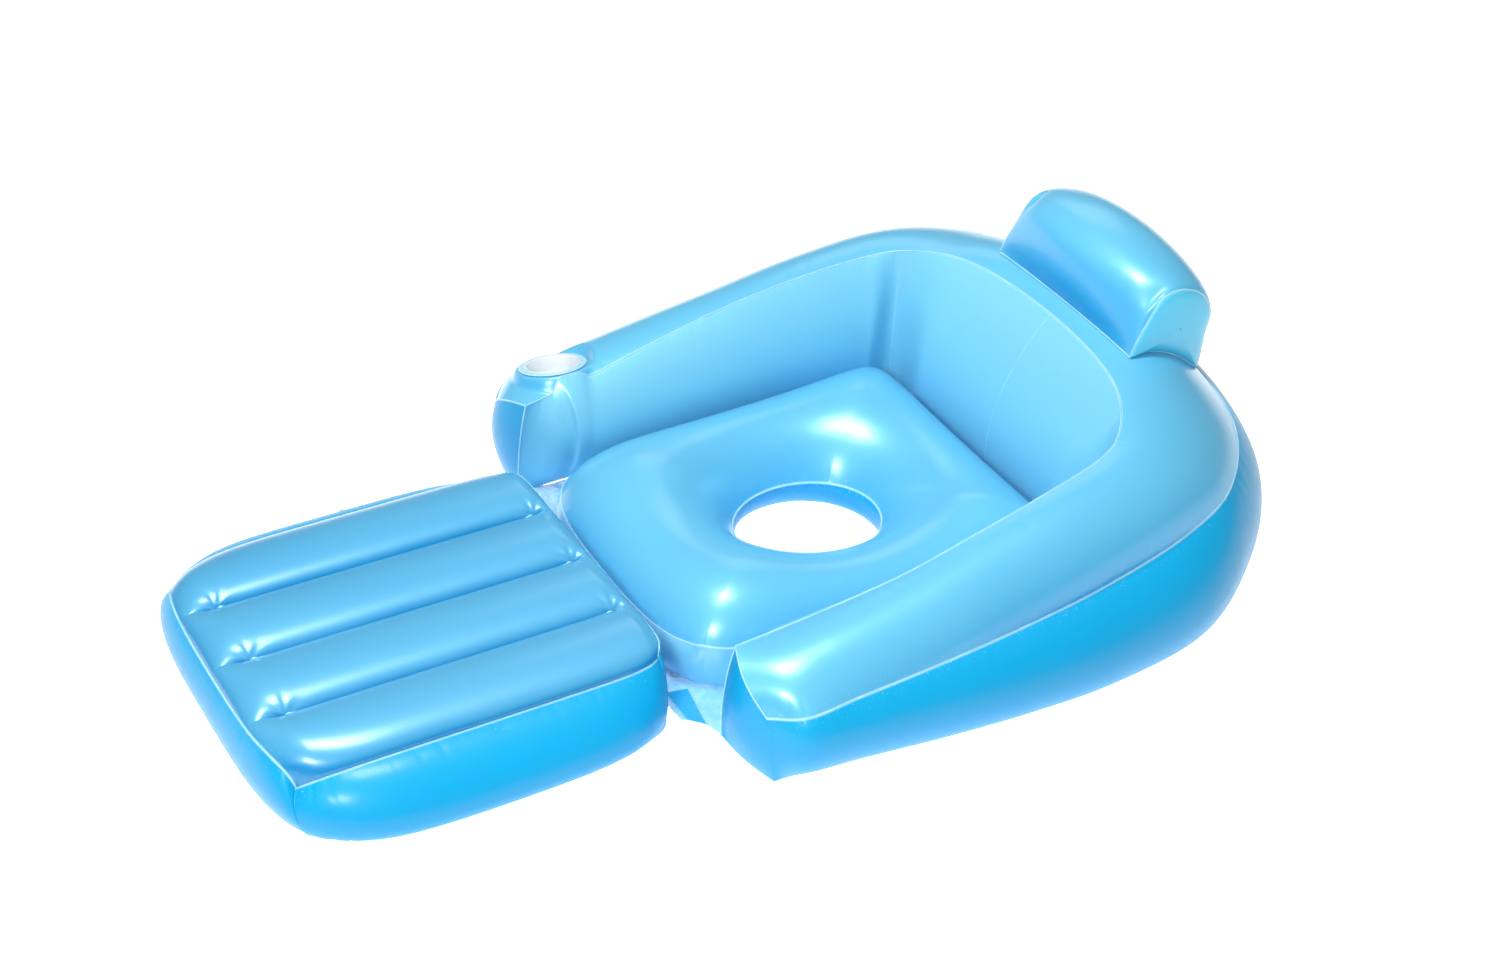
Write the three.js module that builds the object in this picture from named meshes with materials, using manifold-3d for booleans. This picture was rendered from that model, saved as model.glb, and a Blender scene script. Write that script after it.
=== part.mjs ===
// Inflatable pool lounge: a U-shaped arm and back chamber with a head bolster, a square ring seat,
// and a four-tube footrest that folds on a web of film. Every panel is cut from sheet and welded.
// Units are millimetres. +Z is up, +Y runs from the footrest to the head bolster, and the origin is
// under the middle of the float, on the surface that it rests on.
import * as THREE from 'three';
import { mergeVertices } from 'three/addons/utils/BufferGeometryUtils.js';
import Module from 'manifold-3d';

const wasm = await Module();
wasm.setup();

// Film and fits
const FILM = 2; // modelled thickness of the film
const GAP = 0.3; // room between pieces that touch
const SEAM_INSET = 0.6; // how far each panel stands back from its seam
const SEAM_POINTS_PER_MM = 50; // two points closer than a fiftieth of a millimetre are one seam point

// Arm and back chamber: half of the U from the arm's front end to the middle of the back.
// Each station gives the inner top, outer top, outer bottom and inner bottom seam.
const ARM_STATIONS = [
  { innerTop: [319, -180, 156], outerTop: [415, -184, 103], outerBottom: [430, -176, 0], innerBottom: [316, -193] },
  { innerTop: [322, -135, 162], outerTop: [452, -146, 117], outerBottom: [432, -134, 0], innerBottom: [318, -140] },
  { innerTop: [327, -67, 173], outerTop: [455, -67, 125], outerBottom: [434, -60, 0], innerBottom: [320, -67] },
  { innerTop: [337, 72, 202], outerTop: [455, 72, 135], outerBottom: [448, 72, 0], innerBottom: [322, 72] },
  { innerTop: [335, 188, 230], outerTop: [451, 200, 145], outerBottom: [456, 202, 0], innerBottom: [322, 188] },
  { innerTop: [326, 306, 253], outerTop: [444, 335, 160], outerBottom: [462, 340, 0], innerBottom: [316, 306] },
  { innerTop: [307, 423, 272], outerTop: [424, 500, 188], outerBottom: [446, 505, 0], innerBottom: [300, 410] },
  { innerTop: [285, 463, 282], outerTop: [385, 602, 207], outerBottom: [397, 611, 0], innerBottom: [268, 452] },
  { innerTop: [205, 517, 298], outerTop: [270, 695, 229], outerBottom: [282, 722, 0], innerBottom: [190, 466] },
  { innerTop: [0, 545, 303], outerTop: [0, 732, 245], outerBottom: [0, 762, 0], innerBottom: [0, 472] },
];
// Rise of the top panel above the line between its seams, at each station
const CROWNS = [12, 20, 27, 29, 31, 37, 38, 33, 30, 49];
// How far the outer wall stands out from between its seams, at each station
const WALL_BULGES = [8, 30, 40, 48, 56, 57, 52, 38, 45, 69];
const BACK_CROWN_LEAN = 0.45; // how far the crown leans towards the inner seam under the bolster
const BACK_CORNER_STATION = 7; // the upright seam between an arm's inner wall and the back panel
const COLUMNS_PER_STATION = 3;
const TOP_ROWS = 5;
const WALL_ROWS = 6;
const FRONT_EDGE_FORWARD = 12; // how far the top panel's front edge bows forward
const FRONT_FACE_BULGE = 11;
const INNER_BULGE = 48;
const INNER_END_BULGE = 6; // at the upright seam on the front of each arm
const INNER_CORNER_BULGE = 14; // at the upright seam in each back corner

// Seat
const SEAT_HALF_WIDTH = 272;
const SEAT_FRONT_TAPER = 0.06; // how much narrower the seat is at its front
const SEAT_FRONT_Y = -208;
const SEAT_BACK_Y = 434;
const SEAT_SEAM_Z = 74;
const SEAT_CORNER_CUT = 16; // how far the round back corners stand in from square ones
const SEAT_FRONT_CORNER_CUT = 42;
const SEAT_FRONT_DIP = 9; // how far the top seam sags in the middle of the front
const SEAT_FRONT_BULGE = 13;
const SEAT_SIDE_BULGE = 5;
const SEAT_CROWN = 16; // rise of the seat's top panel where its span is least
const SEAT_CROWN_GROWTH = 0.235; // further rise over the span
const SEAT_POINTS_PER_SIDE = 8;
const SEAT_TOP_ROWS = 6;
const HOLE_Y = 133;
const HOLE_TOP = { x: 98, y: 117, z: 46 };
const HOLE_BOTTOM = { x: 116, y: 122 };
const HOLE_BULGE = 7;

// Footrest
const TUBE_PITCH = 125;
const TUBES = 4;
const TUBE_RISE = 26;
const REST_FRONT_Y = -800;
const REST_BACK_Y = -231;
const REST_SEAM_Z = 97;
const WELD_Z = 100;
const WELD_FRONT_Y = -745;
const WELD_BACK_Y = -262;
const REST_CORNER_CUT = 18; // how far the round back corners stand in from square ones
const REST_FRONT_CORNER_CUT = 28;
const REST_FOOT_CORNER_CUT = 19;
const REST_FOOT_FRONT_CORNER_CUT = 37;
const REST_FOOT_SPREAD = 33; // how far the bottom seam stands outside the top one at each side
const REST_CORNER_DROP = 30; // how far the top seam falls at the front corners
const REST_SIDE_BULGE = 46;
const REST_FOOT_BOW = 13; // how far the middle of each long side bows out at the bottom
const REST_FRONT_BULGE = 17;
const REST_CORNER_BULGE = 14;
const REST_BACK_BULGE = 1.5;
const REST_COLUMNS = 24;
const REST_ROWS = 11;
const BAFFLE_LIP = 12;

// Film hinge between the seat and the footrest
const HINGE_Y = -227;
const HINGE_HALF_WIDTH = 232;
const WEB_CORNER_X = 309; // where the web meets the front of each arm
const WEB_WAIST = 26; // depth of the concave free edge of the web
const TAB_SIZE = 32;

// Head bolster
const BOLSTER_HALF_LENGTH = 168;
const BOLSTER_LEAN = 4; // how far each end leans in at its top
const BOLSTER_FRONT_Y = 566;
const BOLSTER_BACK_Y = 701;
const BOLSTER_STANDOFF = 1.9;
const BOLSTER_END_BULGE = 7;
const BOLSTER_COLUMNS = 12;
const BOLSTER_BASE_ROWS = 5;
const BOLSTER_WRAP_ROWS = 10;
// Sections of the bolster: distance back from the front seam of its base, and height above its base
const BOLSTER_END_SECTION = [
  [0, 0], [0, 27], [3, 54], [6, 78], [13, 100], [34, 115], [64, 119], [94, 112], [119, 90], [128, 56], [140, 20],
  [145, 0],
];
const BOLSTER_MIDDLE_SECTION = [
  [0, 0], [-15, 26], [-22, 58], [-19, 92], [3, 122], [38, 142], [74, 149], [118, 133], [148, 88], [160, 40],
  [145, 0],
];

// Cup holder
const CUP_CENTRE = { x: -384, y: -102 };
const CUP_TILT = THREE.MathUtils.degToRad(17);
const CUP_RADIUS = 42.5;
const CUP_WALL = 1.8;
const CUP_DEPTH = 86;
const CUP_FLANGE_RADIUS = 53.5;
const CUP_FLANGE_THICKNESS = 2.4;
const CUP_DRAWN_RADIUS = 67; // the film is drawn flat inside this radius
const CUP_FLAT_RADIUS = 57;
const CUP_SEGMENTS = 28;

// Valves
const VALVE = {
  flangeRadius: 16, flangeThickness: 1.6, bore: 8.4, stemRadius: 8, stemBore: 5.5, collarRadius: 9.8,
  collarThickness: 1.5, stemDepth: 18, lipRadius: 8.9, lipThickness: 1.5, filmHole: 9.6,
  flapRadius: 7, flapThickness: 1, capRadius: 7.6, capThickness: 1.6, plugTop: 5.2, plugTip: 4.1,
  plugDepth: 6, hingeRadius: 11.5, lugWidth: 6, lugLength: 3.4, segments: 14,
};

const VALVE_STANDOFF = 0.5; // room between the film and a valve's flange
const SEAT_VALVE_STANDOFF = 3.1;

const FILM_BLUE = 0x63bdec;
const WALL_BLUE = 0x1fa3dc;
const WEB_BLUE = 0xa5e1fd;
const VALVE_CLEAR = 0xdcecf2;
const CUP_WHITE = 0xf2f6f8;

const point = (x, y, z = 0) => new THREE.Vector3(x, y, z);
const clamp01 = (value) => Math.min(1, Math.max(0, value));
const smooth = (value) => THREE.MathUtils.smoothstep(value, 0, 1);
const sample = (count, fill) => Array.from({ length: count + 1 }, (_, index) => fill(index / count, index));
const group = new THREE.Group();
const valveFrames = {}; // where each chamber's valve sits, and which way it faces

function addMesh(name, geometry, colour, roughness = 0.25, parent = group) {
  const material = new THREE.MeshStandardMaterial({ color: colour, roughness, metalness: 0 });
  const mesh = new THREE.Mesh(geometry, material);
  mesh.name = name;
  parent.add(mesh);
  return mesh;
}

// A point on the circular arc from a to b that stands `rise` off its chord in the direction `out`
function arcPoint(a, b, out, rise, share) {
  const chord = a.distanceTo(b);
  const halfAngle = 2 * Math.atan((2 * Math.max(rise, 0.01)) / chord);
  const radius = chord / (2 * Math.sin(halfAngle));
  const angle = (2 * share - 1) * halfAngle;
  const along = 0.5 + (radius * Math.sin(angle)) / chord;
  const height = radius * (Math.cos(angle) - Math.cos(halfAngle));
  return a.clone().lerp(b, along).addScaledVector(out, height);
}

// ---------------------------------------------------------------- film panels

const seamKey = (p) => [p.x, p.y, p.z].map((c) => Math.round(c * SEAM_POINTS_PER_MM)).join(' ');

// A panel is a list of points and the triangles between them. This one is a grid of rows.
function gridPanel(name, rows, closed = false) {
  const columns = rows[0].length;
  const triangles = [];
  for (let row = 0; row + 1 < rows.length; row += 1) {
    for (let column = 0; column < (closed ? columns : columns - 1); column += 1) {
      const next = (column + 1) % columns;
      const [a, b] = [row * columns + column, row * columns + next];
      const [c, d] = [a + columns, b + columns];
      triangles.push([a, b, d], [a, d, c]);
    }
  }
  return weldPanel({ name, points: rows.flat(), triangles });
}

// A flat panel inside one closed outline
function flatPanel(name, outline) {
  const flat = outline.map((p) => new THREE.Vector2(p.x, p.y));
  return weldPanel({ name, points: outline, triangles: THREE.ShapeUtils.triangulateShape(flat, []) });
}

// Points at one place become one point, and triangles that this closes up are dropped.
function weldPanel({ name, points, triangles }) {
  const places = new Map();
  const kept = [];
  const index = points.map((p) => {
    const key = seamKey(p);
    if (!places.has(key)) {
      places.set(key, kept.length);
      kept.push(p);
    }
    return places.get(key);
  });
  const corners = triangles.map((triangle) => triangle.map((corner) => index[corner]));
  return { name, points: kept, triangles: corners.filter(([a, b, c]) => a !== b && b !== c && a !== c) };
}

const directedEdges = ([a, b, c]) => [[a, b], [b, c], [c, a]];

// Turns the panels over until every seam is crossed once each way and the skin faces outwards.
function orientPanels(panels) {
  const edgeName = (panel, a, b) => `${seamKey(panel.points[a])}|${seamKey(panel.points[b])}`;
  const names = panels.map((panel) => panel.triangles.flatMap(directedEdges));
  const settled = new Set([0]);
  const flip = (panel) => panel.triangles.forEach((triangle) => triangle.reverse());
  while (settled.size < panels.length) {
    const before = settled.size;
    panels.forEach((panel, number) => {
      if (settled.has(number)) return;
      const forward = new Set(names[number].map(([a, b]) => edgeName(panel, a, b)));
      for (const other of settled) {
        const neighbour = panels[other];
        const edges = neighbour.triangles.flatMap(directedEdges);
        const same = edges.some(([a, b]) => forward.has(edgeName(neighbour, a, b)));
        const opposite = edges.some(([a, b]) => forward.has(edgeName(neighbour, b, a)));
        if (!same && !opposite) continue;
        if (same) flip(panel);
        settled.add(number);
        return;
      }
    });
    if (settled.size === before) throw new Error(`no shared seam: ${panels.map((panel) => panel.name)}`);
  }
  let volume = 0;
  for (const { points, triangles } of panels) {
    for (const [a, b, c] of triangles) volume += points[a].dot(points[b].clone().cross(points[c]));
  }
  if (volume < 0) panels.forEach(flip);
}

// Cuts one chamber's skin into solid panels of film. Both panels at a seam use the same inward
// direction there, and each is drawn back a little from the seam.
function skinSolids(panels) {
  orientPanels(panels);
  const turns = new Map();
  for (const panel of panels) {
    outwardDirections(panel).forEach((outward, index) => {
      const key = seamKey(panel.points[index]);
      if (!turns.has(key)) turns.set(key, { sum: point(0, 0, 0), panels: 0 });
      turns.get(key).sum.add(outward);
      turns.get(key).panels += 1;
    });
  }
  return Object.fromEntries(panels.map((panel) => [panel.name, panelSolid(panel, turns)]));
}

function outwardDirections({ points, triangles }) {
  const directions = points.map(() => point(0, 0, 0));
  for (const [a, b, c] of triangles) {
    const normal = points[b].clone().sub(points[a]).cross(points[c].clone().sub(points[a]));
    for (const corner of [a, b, c]) directions[corner].add(normal);
  }
  return directions.map((direction) => direction.normalize());
}

function panelSolid({ points, triangles }, turns) {
  const edges = new Map();
  for (const triangle of triangles) {
    const [a, b, c] = triangle.map((corner) => points[corner]);
    const normal = b.clone().sub(a).cross(c.clone().sub(a)).normalize();
    for (const [from, to] of directedEdges(triangle)) edges.set(`${from} ${to}`, { from, to, normal });
  }
  const rim = [...edges.values()].filter(({ from, to }) => !edges.has(`${to} ${from}`));
  const inset = points.map(() => point(0, 0, 0));
  for (const { from, to, normal } of rim) {
    const inward = normal.clone().cross(points[to].clone().sub(points[from])).normalize();
    inset[from].add(inward);
    inset[to].add(inward);
  }
  const outer = points.map((p, index) => {
    const step = inset[index].length() > 0 ? inset[index].clone().setLength(SEAM_INSET) : inset[index];
    return p.clone().add(step);
  });
  const inner = outer.map((p, index) => {
    const { sum, panels } = turns.get(seamKey(points[index]));
    const mitre = Math.max(sum.length() / panels, 0.5);
    return p.clone().addScaledVector(sum.clone().normalize(), -FILM / mitre);
  });
  const count = points.length;
  const faces = [];
  for (const [a, b, c] of triangles) faces.push([a, b, c], [c + count, b + count, a + count]);
  for (const { from, to } of rim) faces.push([to, from, from + count], [to, from + count, to + count]);
  return solidGeometry([...outer, ...inner], faces);
}

function solidGeometry(points, faces) {
  const geometry = new THREE.BufferGeometry();
  geometry.setAttribute('position', new THREE.Float32BufferAttribute(points.flatMap((p) => p.toArray()), 3));
  geometry.setIndex(faces.flat());
  return geometry;
}

// ---------------------------------------------------------------- boolean cuts

function toManifold(geometry, matrix = new THREE.Matrix4()) {
  const plain = geometry.clone().applyMatrix4(matrix);
  plain.deleteAttribute('normal');
  plain.deleteAttribute('uv');
  const merged = mergeVertices(plain, 1e-4);
  const vertProperties = new Float32Array(merged.attributes.position.array);
  const triVerts = new Uint32Array(merged.index.array);
  return new wasm.Manifold(new wasm.Mesh({ numProp: 3, vertProperties, triVerts }));
}

function fromManifold(solid) {
  const { vertProperties, triVerts } = solid.getMesh();
  const geometry = new THREE.BufferGeometry();
  geometry.setAttribute('position', new THREE.Float32BufferAttribute(vertProperties, 3));
  geometry.setIndex([...triVerts]);
  return geometry;
}

// Cuts a round hole through a panel, square to the place's axis
function punch(geometry, place, radius, reach, segments) {
  const drill = new THREE.CylinderGeometry(radius, radius, 2 * reach, segments).rotateX(Math.PI / 2);
  return fromManifold(toManifold(geometry).subtract(toManifold(drill, place)));
}

// ---------------------------------------------------------------- arm and back chamber

function seamCurve(seam) {
  const half = ARM_STATIONS.map((station) => point(...station[seam]));
  const mirrored = half.slice(0, -1).reverse().map((p) => point(-p.x, p.y, p.z));
  return new THREE.CatmullRomCurve3([...half, ...mirrored], false, 'centripetal');
}

const innerTop = seamCurve('innerTop');
const outerTop = seamCurve('outerTop');
const outerBottom = seamCurve('outerBottom');
const innerBottom = seamCurve('innerBottom');
const halfStations = ARM_STATIONS.length - 1;
const armColumns = 2 * halfStations * COLUMNS_PER_STATION;

// Distance from the nearer arm's front end, counted in stations
const stationOf = (share) => 2 * halfStations * Math.min(share, 1 - share);

function atStation(values, station) {
  const before = Math.min(Math.floor(station), halfStations - 1);
  return THREE.MathUtils.lerp(values[before], values[before + 1], smooth(station - before));
}

// The plane of the cup holder's mouth
const cupAxis = point(-Math.sin(CUP_TILT), 0, Math.cos(CUP_TILT));
const cupMouth = crownPoint(shareAtCup(), 0.5);

function crownPoint(share, across) {
  const inner = innerTop.getPoint(share);
  const outer = outerTop.getPoint(share);
  const run = innerTop.getTangent(share);
  const up = run.clone().cross(outer.clone().sub(inner)).normalize();
  if (up.z < 0) up.negate();
  const station = stationOf(share);
  const rise = atStation(CROWNS, station);
  const lean = BACK_CROWN_LEAN * smooth(clamp01((station - 7.6) / 0.8));
  const onCrown = arcPoint(inner, outer, up, rise, across);
  onCrown.addScaledVector(up, rise * lean * 4 * across * (1 - across) * (1 - 2 * across));
  onCrown.y -= (1 - smooth(clamp01(station / 1.8))) * FRONT_EDGE_FORWARD * Math.sin(Math.PI * across);
  return onCrown;
}

// The share of the U at which its middle passes the cup holder
function shareAtCup() {
  let share = 1;
  while (outerTop.getPoint(share).y < CUP_CENTRE.y) share -= 0.001;
  return share;
}

// The top panel's surface, drawn flat under the cup holder's flange
function topPoint(share, across) {
  const onCrown = crownPoint(share, across);
  const fromCup = onCrown.clone().sub(point(CUP_CENTRE.x, CUP_CENTRE.y, cupMouth.z));
  const off = fromCup.dot(cupAxis);
  const radial = fromCup.addScaledVector(cupAxis, -off).length();
  const span = CUP_DRAWN_RADIUS - CUP_FLAT_RADIUS;
  const drawn = smooth(clamp01((CUP_DRAWN_RADIUS - radial) / span));
  return onCrown.addScaledVector(cupAxis, -off * drawn);
}

// The place and the outward direction at one point of a grid
function gridFrame(rows, row, column, facing) {
  const alongRow = rows[row][column + 1].clone().sub(rows[row][column - 1]);
  const alongColumn = rows[row + 1][column].clone().sub(rows[row - 1][column]);
  const normal = alongRow.cross(alongColumn).normalize();
  if (normal.dot(facing) < 0) normal.negate();
  return { place: rows[row][column].clone(), normal };
}

// The bottom panel lies flat between its seams.
function bottomPoint(share, across) {
  const place = innerBottom.getPoint(share).lerp(outerBottom.getPoint(share), across);
  const nearEnd = 1 - smooth(clamp01(stationOf(share)));
  place.y -= nearEnd * 5 * Math.sin(Math.PI * across);
  return place;
}

// The outer wall runs from one arm's inner front corner, over its front face, round the U, and back.
function perimeter(topRows) {
  const first = topRows.map((row) => row[0]);
  const last = topRows.map((row) => row[row.length - 1]);
  const outer = topRows[topRows.length - 1];
  return [...first, ...outer.slice(1, -1), ...last.reverse()];
}

function wallBulge(column, columns) {
  const fromFront = Math.min(column, columns - column);
  if (fromFront <= TOP_ROWS) {
    const share = fromFront / TOP_ROWS;
    const middle = FRONT_FACE_BULGE * Math.sin(Math.PI * share);
    return INNER_END_BULGE * (1 - share) + WALL_BULGES[0] * smooth(share) + middle * (1 - share);
  }
  return atStation(WALL_BULGES, (fromFront - TOP_ROWS) / COLUMNS_PER_STATION);
}

// How far the inner wall stands out from between its seams
function innerRise(station) {
  const fromCorner = Math.abs(station - BACK_CORNER_STATION);
  const opened = smooth(clamp01(station / 1.6)) * smooth(clamp01(fromCorner / 1.1));
  return THREE.MathUtils.lerp(station < 1.6 ? INNER_END_BULGE : INNER_CORNER_BULGE, INNER_BULGE, opened);
}

// The level direction out of a wall, square to its run from one column to the next
function levelOut(line, column, side) {
  const before = line[Math.max(column - 1, 0)];
  const after = line[Math.min(column + 1, line.length - 1)];
  const run = after.clone().sub(before);
  return point(run.y * side, -run.x * side).normalize();
}

function bodyPanels() {
  const topRows = sample(TOP_ROWS, (across) => sample(armColumns, (share) => topPoint(share, across)));
  const topLine = perimeter(topRows);
  const bottomRows = sample(TOP_ROWS, (across) => sample(armColumns, (share) => bottomPoint(share, across)));
  const bottomLine = perimeter(bottomRows);
  const columns = topLine.length - 1;
  const midLine = topLine.map((p, index) => p.clone().lerp(bottomLine[index], 0.5));
  const wallRows = sample(WALL_ROWS, (drop) => topLine.map((top, column) => {
    const rise = wallBulge(column, columns);
    return arcPoint(top, bottomLine[column], levelOut(midLine, column, 1), rise, drop);
  }));

  const innerTopLine = topRows[0];
  const innerBottomLine = bottomRows[0];
  const innerRows = sample(WALL_ROWS, (drop) => innerTopLine.map((top, column) => {
    const rise = innerRise(stationOf(column / armColumns));
    return arcPoint(top, innerBottomLine[column], levelOut(innerTopLine, column, -1), rise, drop);
  }));
  // The upright seam on each arm's front end belongs to both walls.
  innerRows.forEach((row, index) => {
    row[0] = wallRows[index][0];
    row[armColumns] = wallRows[index][columns];
  });

  const cornerColumn = BACK_CORNER_STATION * COLUMNS_PER_STATION;
  const middleColumn = halfStations * COLUMNS_PER_STATION;
  const part = (name, from, to) => gridPanel(name, innerRows.map((row) => row.slice(from, to + 1)));
  const valveColumn = TOP_ROWS + armColumns - 8 * COLUMNS_PER_STATION;
  valveFrames.body = gridFrame(wallRows, 2, valveColumn, point(-1, 2));
  return [
    gridPanel('body_top_panel', topRows),
    gridPanel('body_outer_wall', wallRows),
    part('left_arm_inner_wall', 0, cornerColumn),
    part('left_back_panel', cornerColumn, middleColumn),
    part('right_back_panel', middleColumn, armColumns - cornerColumn),
    part('right_arm_inner_wall', armColumns - cornerColumn, armColumns),
    gridPanel('body_bottom_panel', bottomRows),
  ];
}

// ---------------------------------------------------------------- seat chamber

// Rounds the corners of a rectangle: u and v run from -1 to 1 across it.
function roundedRectangle(u, v, halfWidth, halfLength, cornerCut) {
  const pull = cornerCut
    * Math.abs(u) ** (halfWidth / (2 * cornerCut))
    * Math.abs(v) ** (halfLength / (2 * cornerCut));
  return point(halfWidth * u - pull * Math.sign(u), halfLength * v - pull * Math.sign(v));
}

// The four sides of a square, walked once round, with points gathered towards the corners
function squareWalk(perSide) {
  const along = (index) => Math.sin((Math.PI / 2) * ((2 * index) / perSide - 1));
  const side = [...Array(perSide).keys()].map(along);
  return [
    ...side.map((s) => [1, s]),
    ...side.map((s) => [-s, 1]),
    ...side.map((s) => [-1, -s]),
    ...side.map((s) => [s, -1]),
  ];
}

const seatWalk = squareWalk(SEAT_POINTS_PER_SIDE);

function seatOutline(u, v, z, inset = 0) {
  const halfLength = (SEAT_BACK_Y - SEAT_FRONT_Y) / 2;
  const cornerCut = v < 0 ? SEAT_FRONT_CORNER_CUT : SEAT_CORNER_CUT;
  const edge = roundedRectangle(u, v, SEAT_HALF_WIDTH - inset, halfLength - inset, cornerCut);
  edge.x *= 1 - SEAT_FRONT_TAPER * clamp01((1 - v) / 2);
  edge.y += (SEAT_BACK_Y + SEAT_FRONT_Y) / 2;
  edge.z = z;
  return edge;
}

function seatPanels() {
  const seam = seatWalk.map(([u, v]) => {
    const dip = SEAT_FRONT_DIP * clamp01(-v) ** 6 * (1 - u * u);
    return seatOutline(u, v, SEAT_SEAM_Z - dip);
  });
  const foot = seatWalk.map(([u, v]) => seatOutline(u, v, 0, 4));
  const angle = (p) => Math.atan2(p.y - HOLE_Y, p.x);
  const ring = (rim, z) => seam.map((p) => {
    const turn = angle(p);
    return point(rim.x * Math.cos(turn), HOLE_Y + rim.y * Math.sin(turn), z);
  });
  const holeTop = ring(HOLE_TOP, HOLE_TOP.z);
  const holeBottom = ring(HOLE_BOTTOM, 0);
  const up = point(0, 0, 1);
  const topRows = sample(SEAT_TOP_ROWS, (share) => seam.map((edge, index) => {
    const span = edge.distanceTo(holeTop[index]);
    return arcPoint(holeTop[index], edge, up, SEAT_CROWN + SEAT_CROWN_GROWTH * span, share);
  }));
  const bandRows = sample(3, (drop) => seam.map((edge, index) => {
    const [u, v] = seatWalk[index];
    const front = smooth(clamp01((-v - 0.6) / 0.4)) * (1 - Math.abs(u) ** 6);
    const out = point(u ** 5, v ** 5).normalize();
    const rise = THREE.MathUtils.lerp(SEAT_SIDE_BULGE, SEAT_FRONT_BULGE, front);
    return arcPoint(edge, foot[index], out, rise, drop);
  }));
  const holeRows = sample(2, (drop) => holeTop.map((edge, index) => {
    const out = point(-edge.x, HOLE_Y - edge.y).normalize();
    return arcPoint(edge, holeBottom[index], out, HOLE_BULGE, drop);
  }));
  valveFrames.seat = gridFrame(holeRows, 1, SEAT_POINTS_PER_SIDE / 2, point(-1, 0));
  return [
    gridPanel('seat_top_panel', topRows, true),
    gridPanel('seat_side_band', bandRows, true),
    gridPanel('seat_hole_band', holeRows, true),
    gridPanel('seat_bottom_panel', [foot, holeBottom], true),
  ];
}

// ---------------------------------------------------------------- footrest chamber

const restHalfWidth = (TUBES * TUBE_PITCH) / 2;
const restHalfLength = (REST_BACK_Y - REST_FRONT_Y) / 2;

function restTopPoint(u, v) {
  const cornerCut = v < 0 ? REST_FRONT_CORNER_CUT : REST_CORNER_CUT;
  const place = roundedRectangle(u, v, restHalfWidth, restHalfLength, cornerCut);
  place.y += (REST_BACK_Y + REST_FRONT_Y) / 2;
  const drop = REST_CORNER_DROP * Math.abs(u) ** 5 * clamp01(-v) ** 5;
  const pastFront = clamp01((WELD_FRONT_Y - place.y) / (WELD_FRONT_Y - REST_FRONT_Y));
  const pastBack = clamp01((place.y - WELD_BACK_Y) / (REST_BACK_Y - WELD_BACK_Y));
  const past = Math.max(pastFront, pastBack);
  const acrossTube = (((u * TUBES) / 2 + TUBES) % 1) * 2 - 1;
  const tube = TUBE_RISE * Math.sqrt(Math.max(0, 1 - acrossTube * acrossTube * 0.96)) * 0.98;
  const pillow = TUBE_RISE * Math.sqrt(Math.max(0, 1 - Math.abs(u) ** 5));
  const merged = THREE.MathUtils.lerp(tube, pillow, smooth(past) * 0.8);
  const closing = Math.sqrt(Math.max(0, 1 - past * past));
  const level = THREE.MathUtils.lerp(WELD_Z - REST_SEAM_Z, 0, Math.max(Math.abs(u) ** 4, past));
  place.z = REST_SEAM_Z - drop + (Math.abs(u) > 0.999 ? 0 : merged * closing + level);
  return place;
}

// Once round the edge of a grid, as the pairs of its two coordinates
function seamPlaces(across, along) {
  const [left, right] = [across[0], across[across.length - 1]];
  const [front, back] = [along[0], along[along.length - 1]];
  return [
    ...across.slice(0, -1).map((u) => [u, front]),
    ...along.slice(0, -1).map((v) => [right, v]),
    ...across.slice(1).reverse().map((u) => [u, back]),
    ...along.slice(1).reverse().map((v) => [left, v]),
  ];
}

function restPanels() {
  const spread = (count) => sample(count, (share) => {
    const even = 2 * share - 1;
    return 0.45 * Math.sin((Math.PI / 2) * even) + 0.55 * even;
  });
  const across = sample(REST_COLUMNS, (share) => 2 * share - 1);
  const topRows = spread(REST_ROWS).map((v) => across.map((u) => restTopPoint(u, v)));
  const seam = seamPlaces(across, spread(REST_ROWS)).map(([u, v]) => restTopPoint(u, v));
  const middleY = (REST_FRONT_Y + REST_BACK_Y) / 2;
  const footHalfWidth = restHalfWidth + REST_FOOT_SPREAD;
  const foot = seamPlaces(across, spread(REST_ROWS)).map(([u, v]) => {
    const cornerCut = v < 0 ? REST_FOOT_FRONT_CORNER_CUT : REST_FOOT_CORNER_CUT;
    const place = roundedRectangle(u, v, footHalfWidth, restHalfLength * 0.99, cornerCut);
    return place.add(point(u * REST_FOOT_BOW * (1 - v * v), middleY));
  });
  const bandRows = sample(4, (drop) => seam.map((edge, index) => {
    const u = edge.x / restHalfWidth;
    const v = (edge.y - middleY) / restHalfLength;
    const out = point(u ** 7, v ** 7).normalize();
    const end = v < 0 ? REST_FRONT_BULGE : REST_BACK_BULGE;
    const toEnd = Math.abs(out.y) ** 1.5;
    const toCorner = (Math.abs(u) * Math.abs(v)) ** 5;
    const side = THREE.MathUtils.lerp(REST_SIDE_BULGE, REST_CORNER_BULGE, Math.min(1, 1.6 * toCorner));
    return arcPoint(edge, foot[index], out, THREE.MathUtils.lerp(side, end, toEnd), drop);
  }));
  const valveColumn = 2 * (REST_COLUMNS + REST_ROWS) - 6;
  valveFrames.footrest = gridFrame(bandRows, 2, valveColumn, point(-1, 0));
  return [
    gridPanel('footrest_top_panel', topRows),
    gridPanel('footrest_side_band', bandRows, true),
    flatPanel('footrest_bottom_panel', foot),
  ];
}

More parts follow.
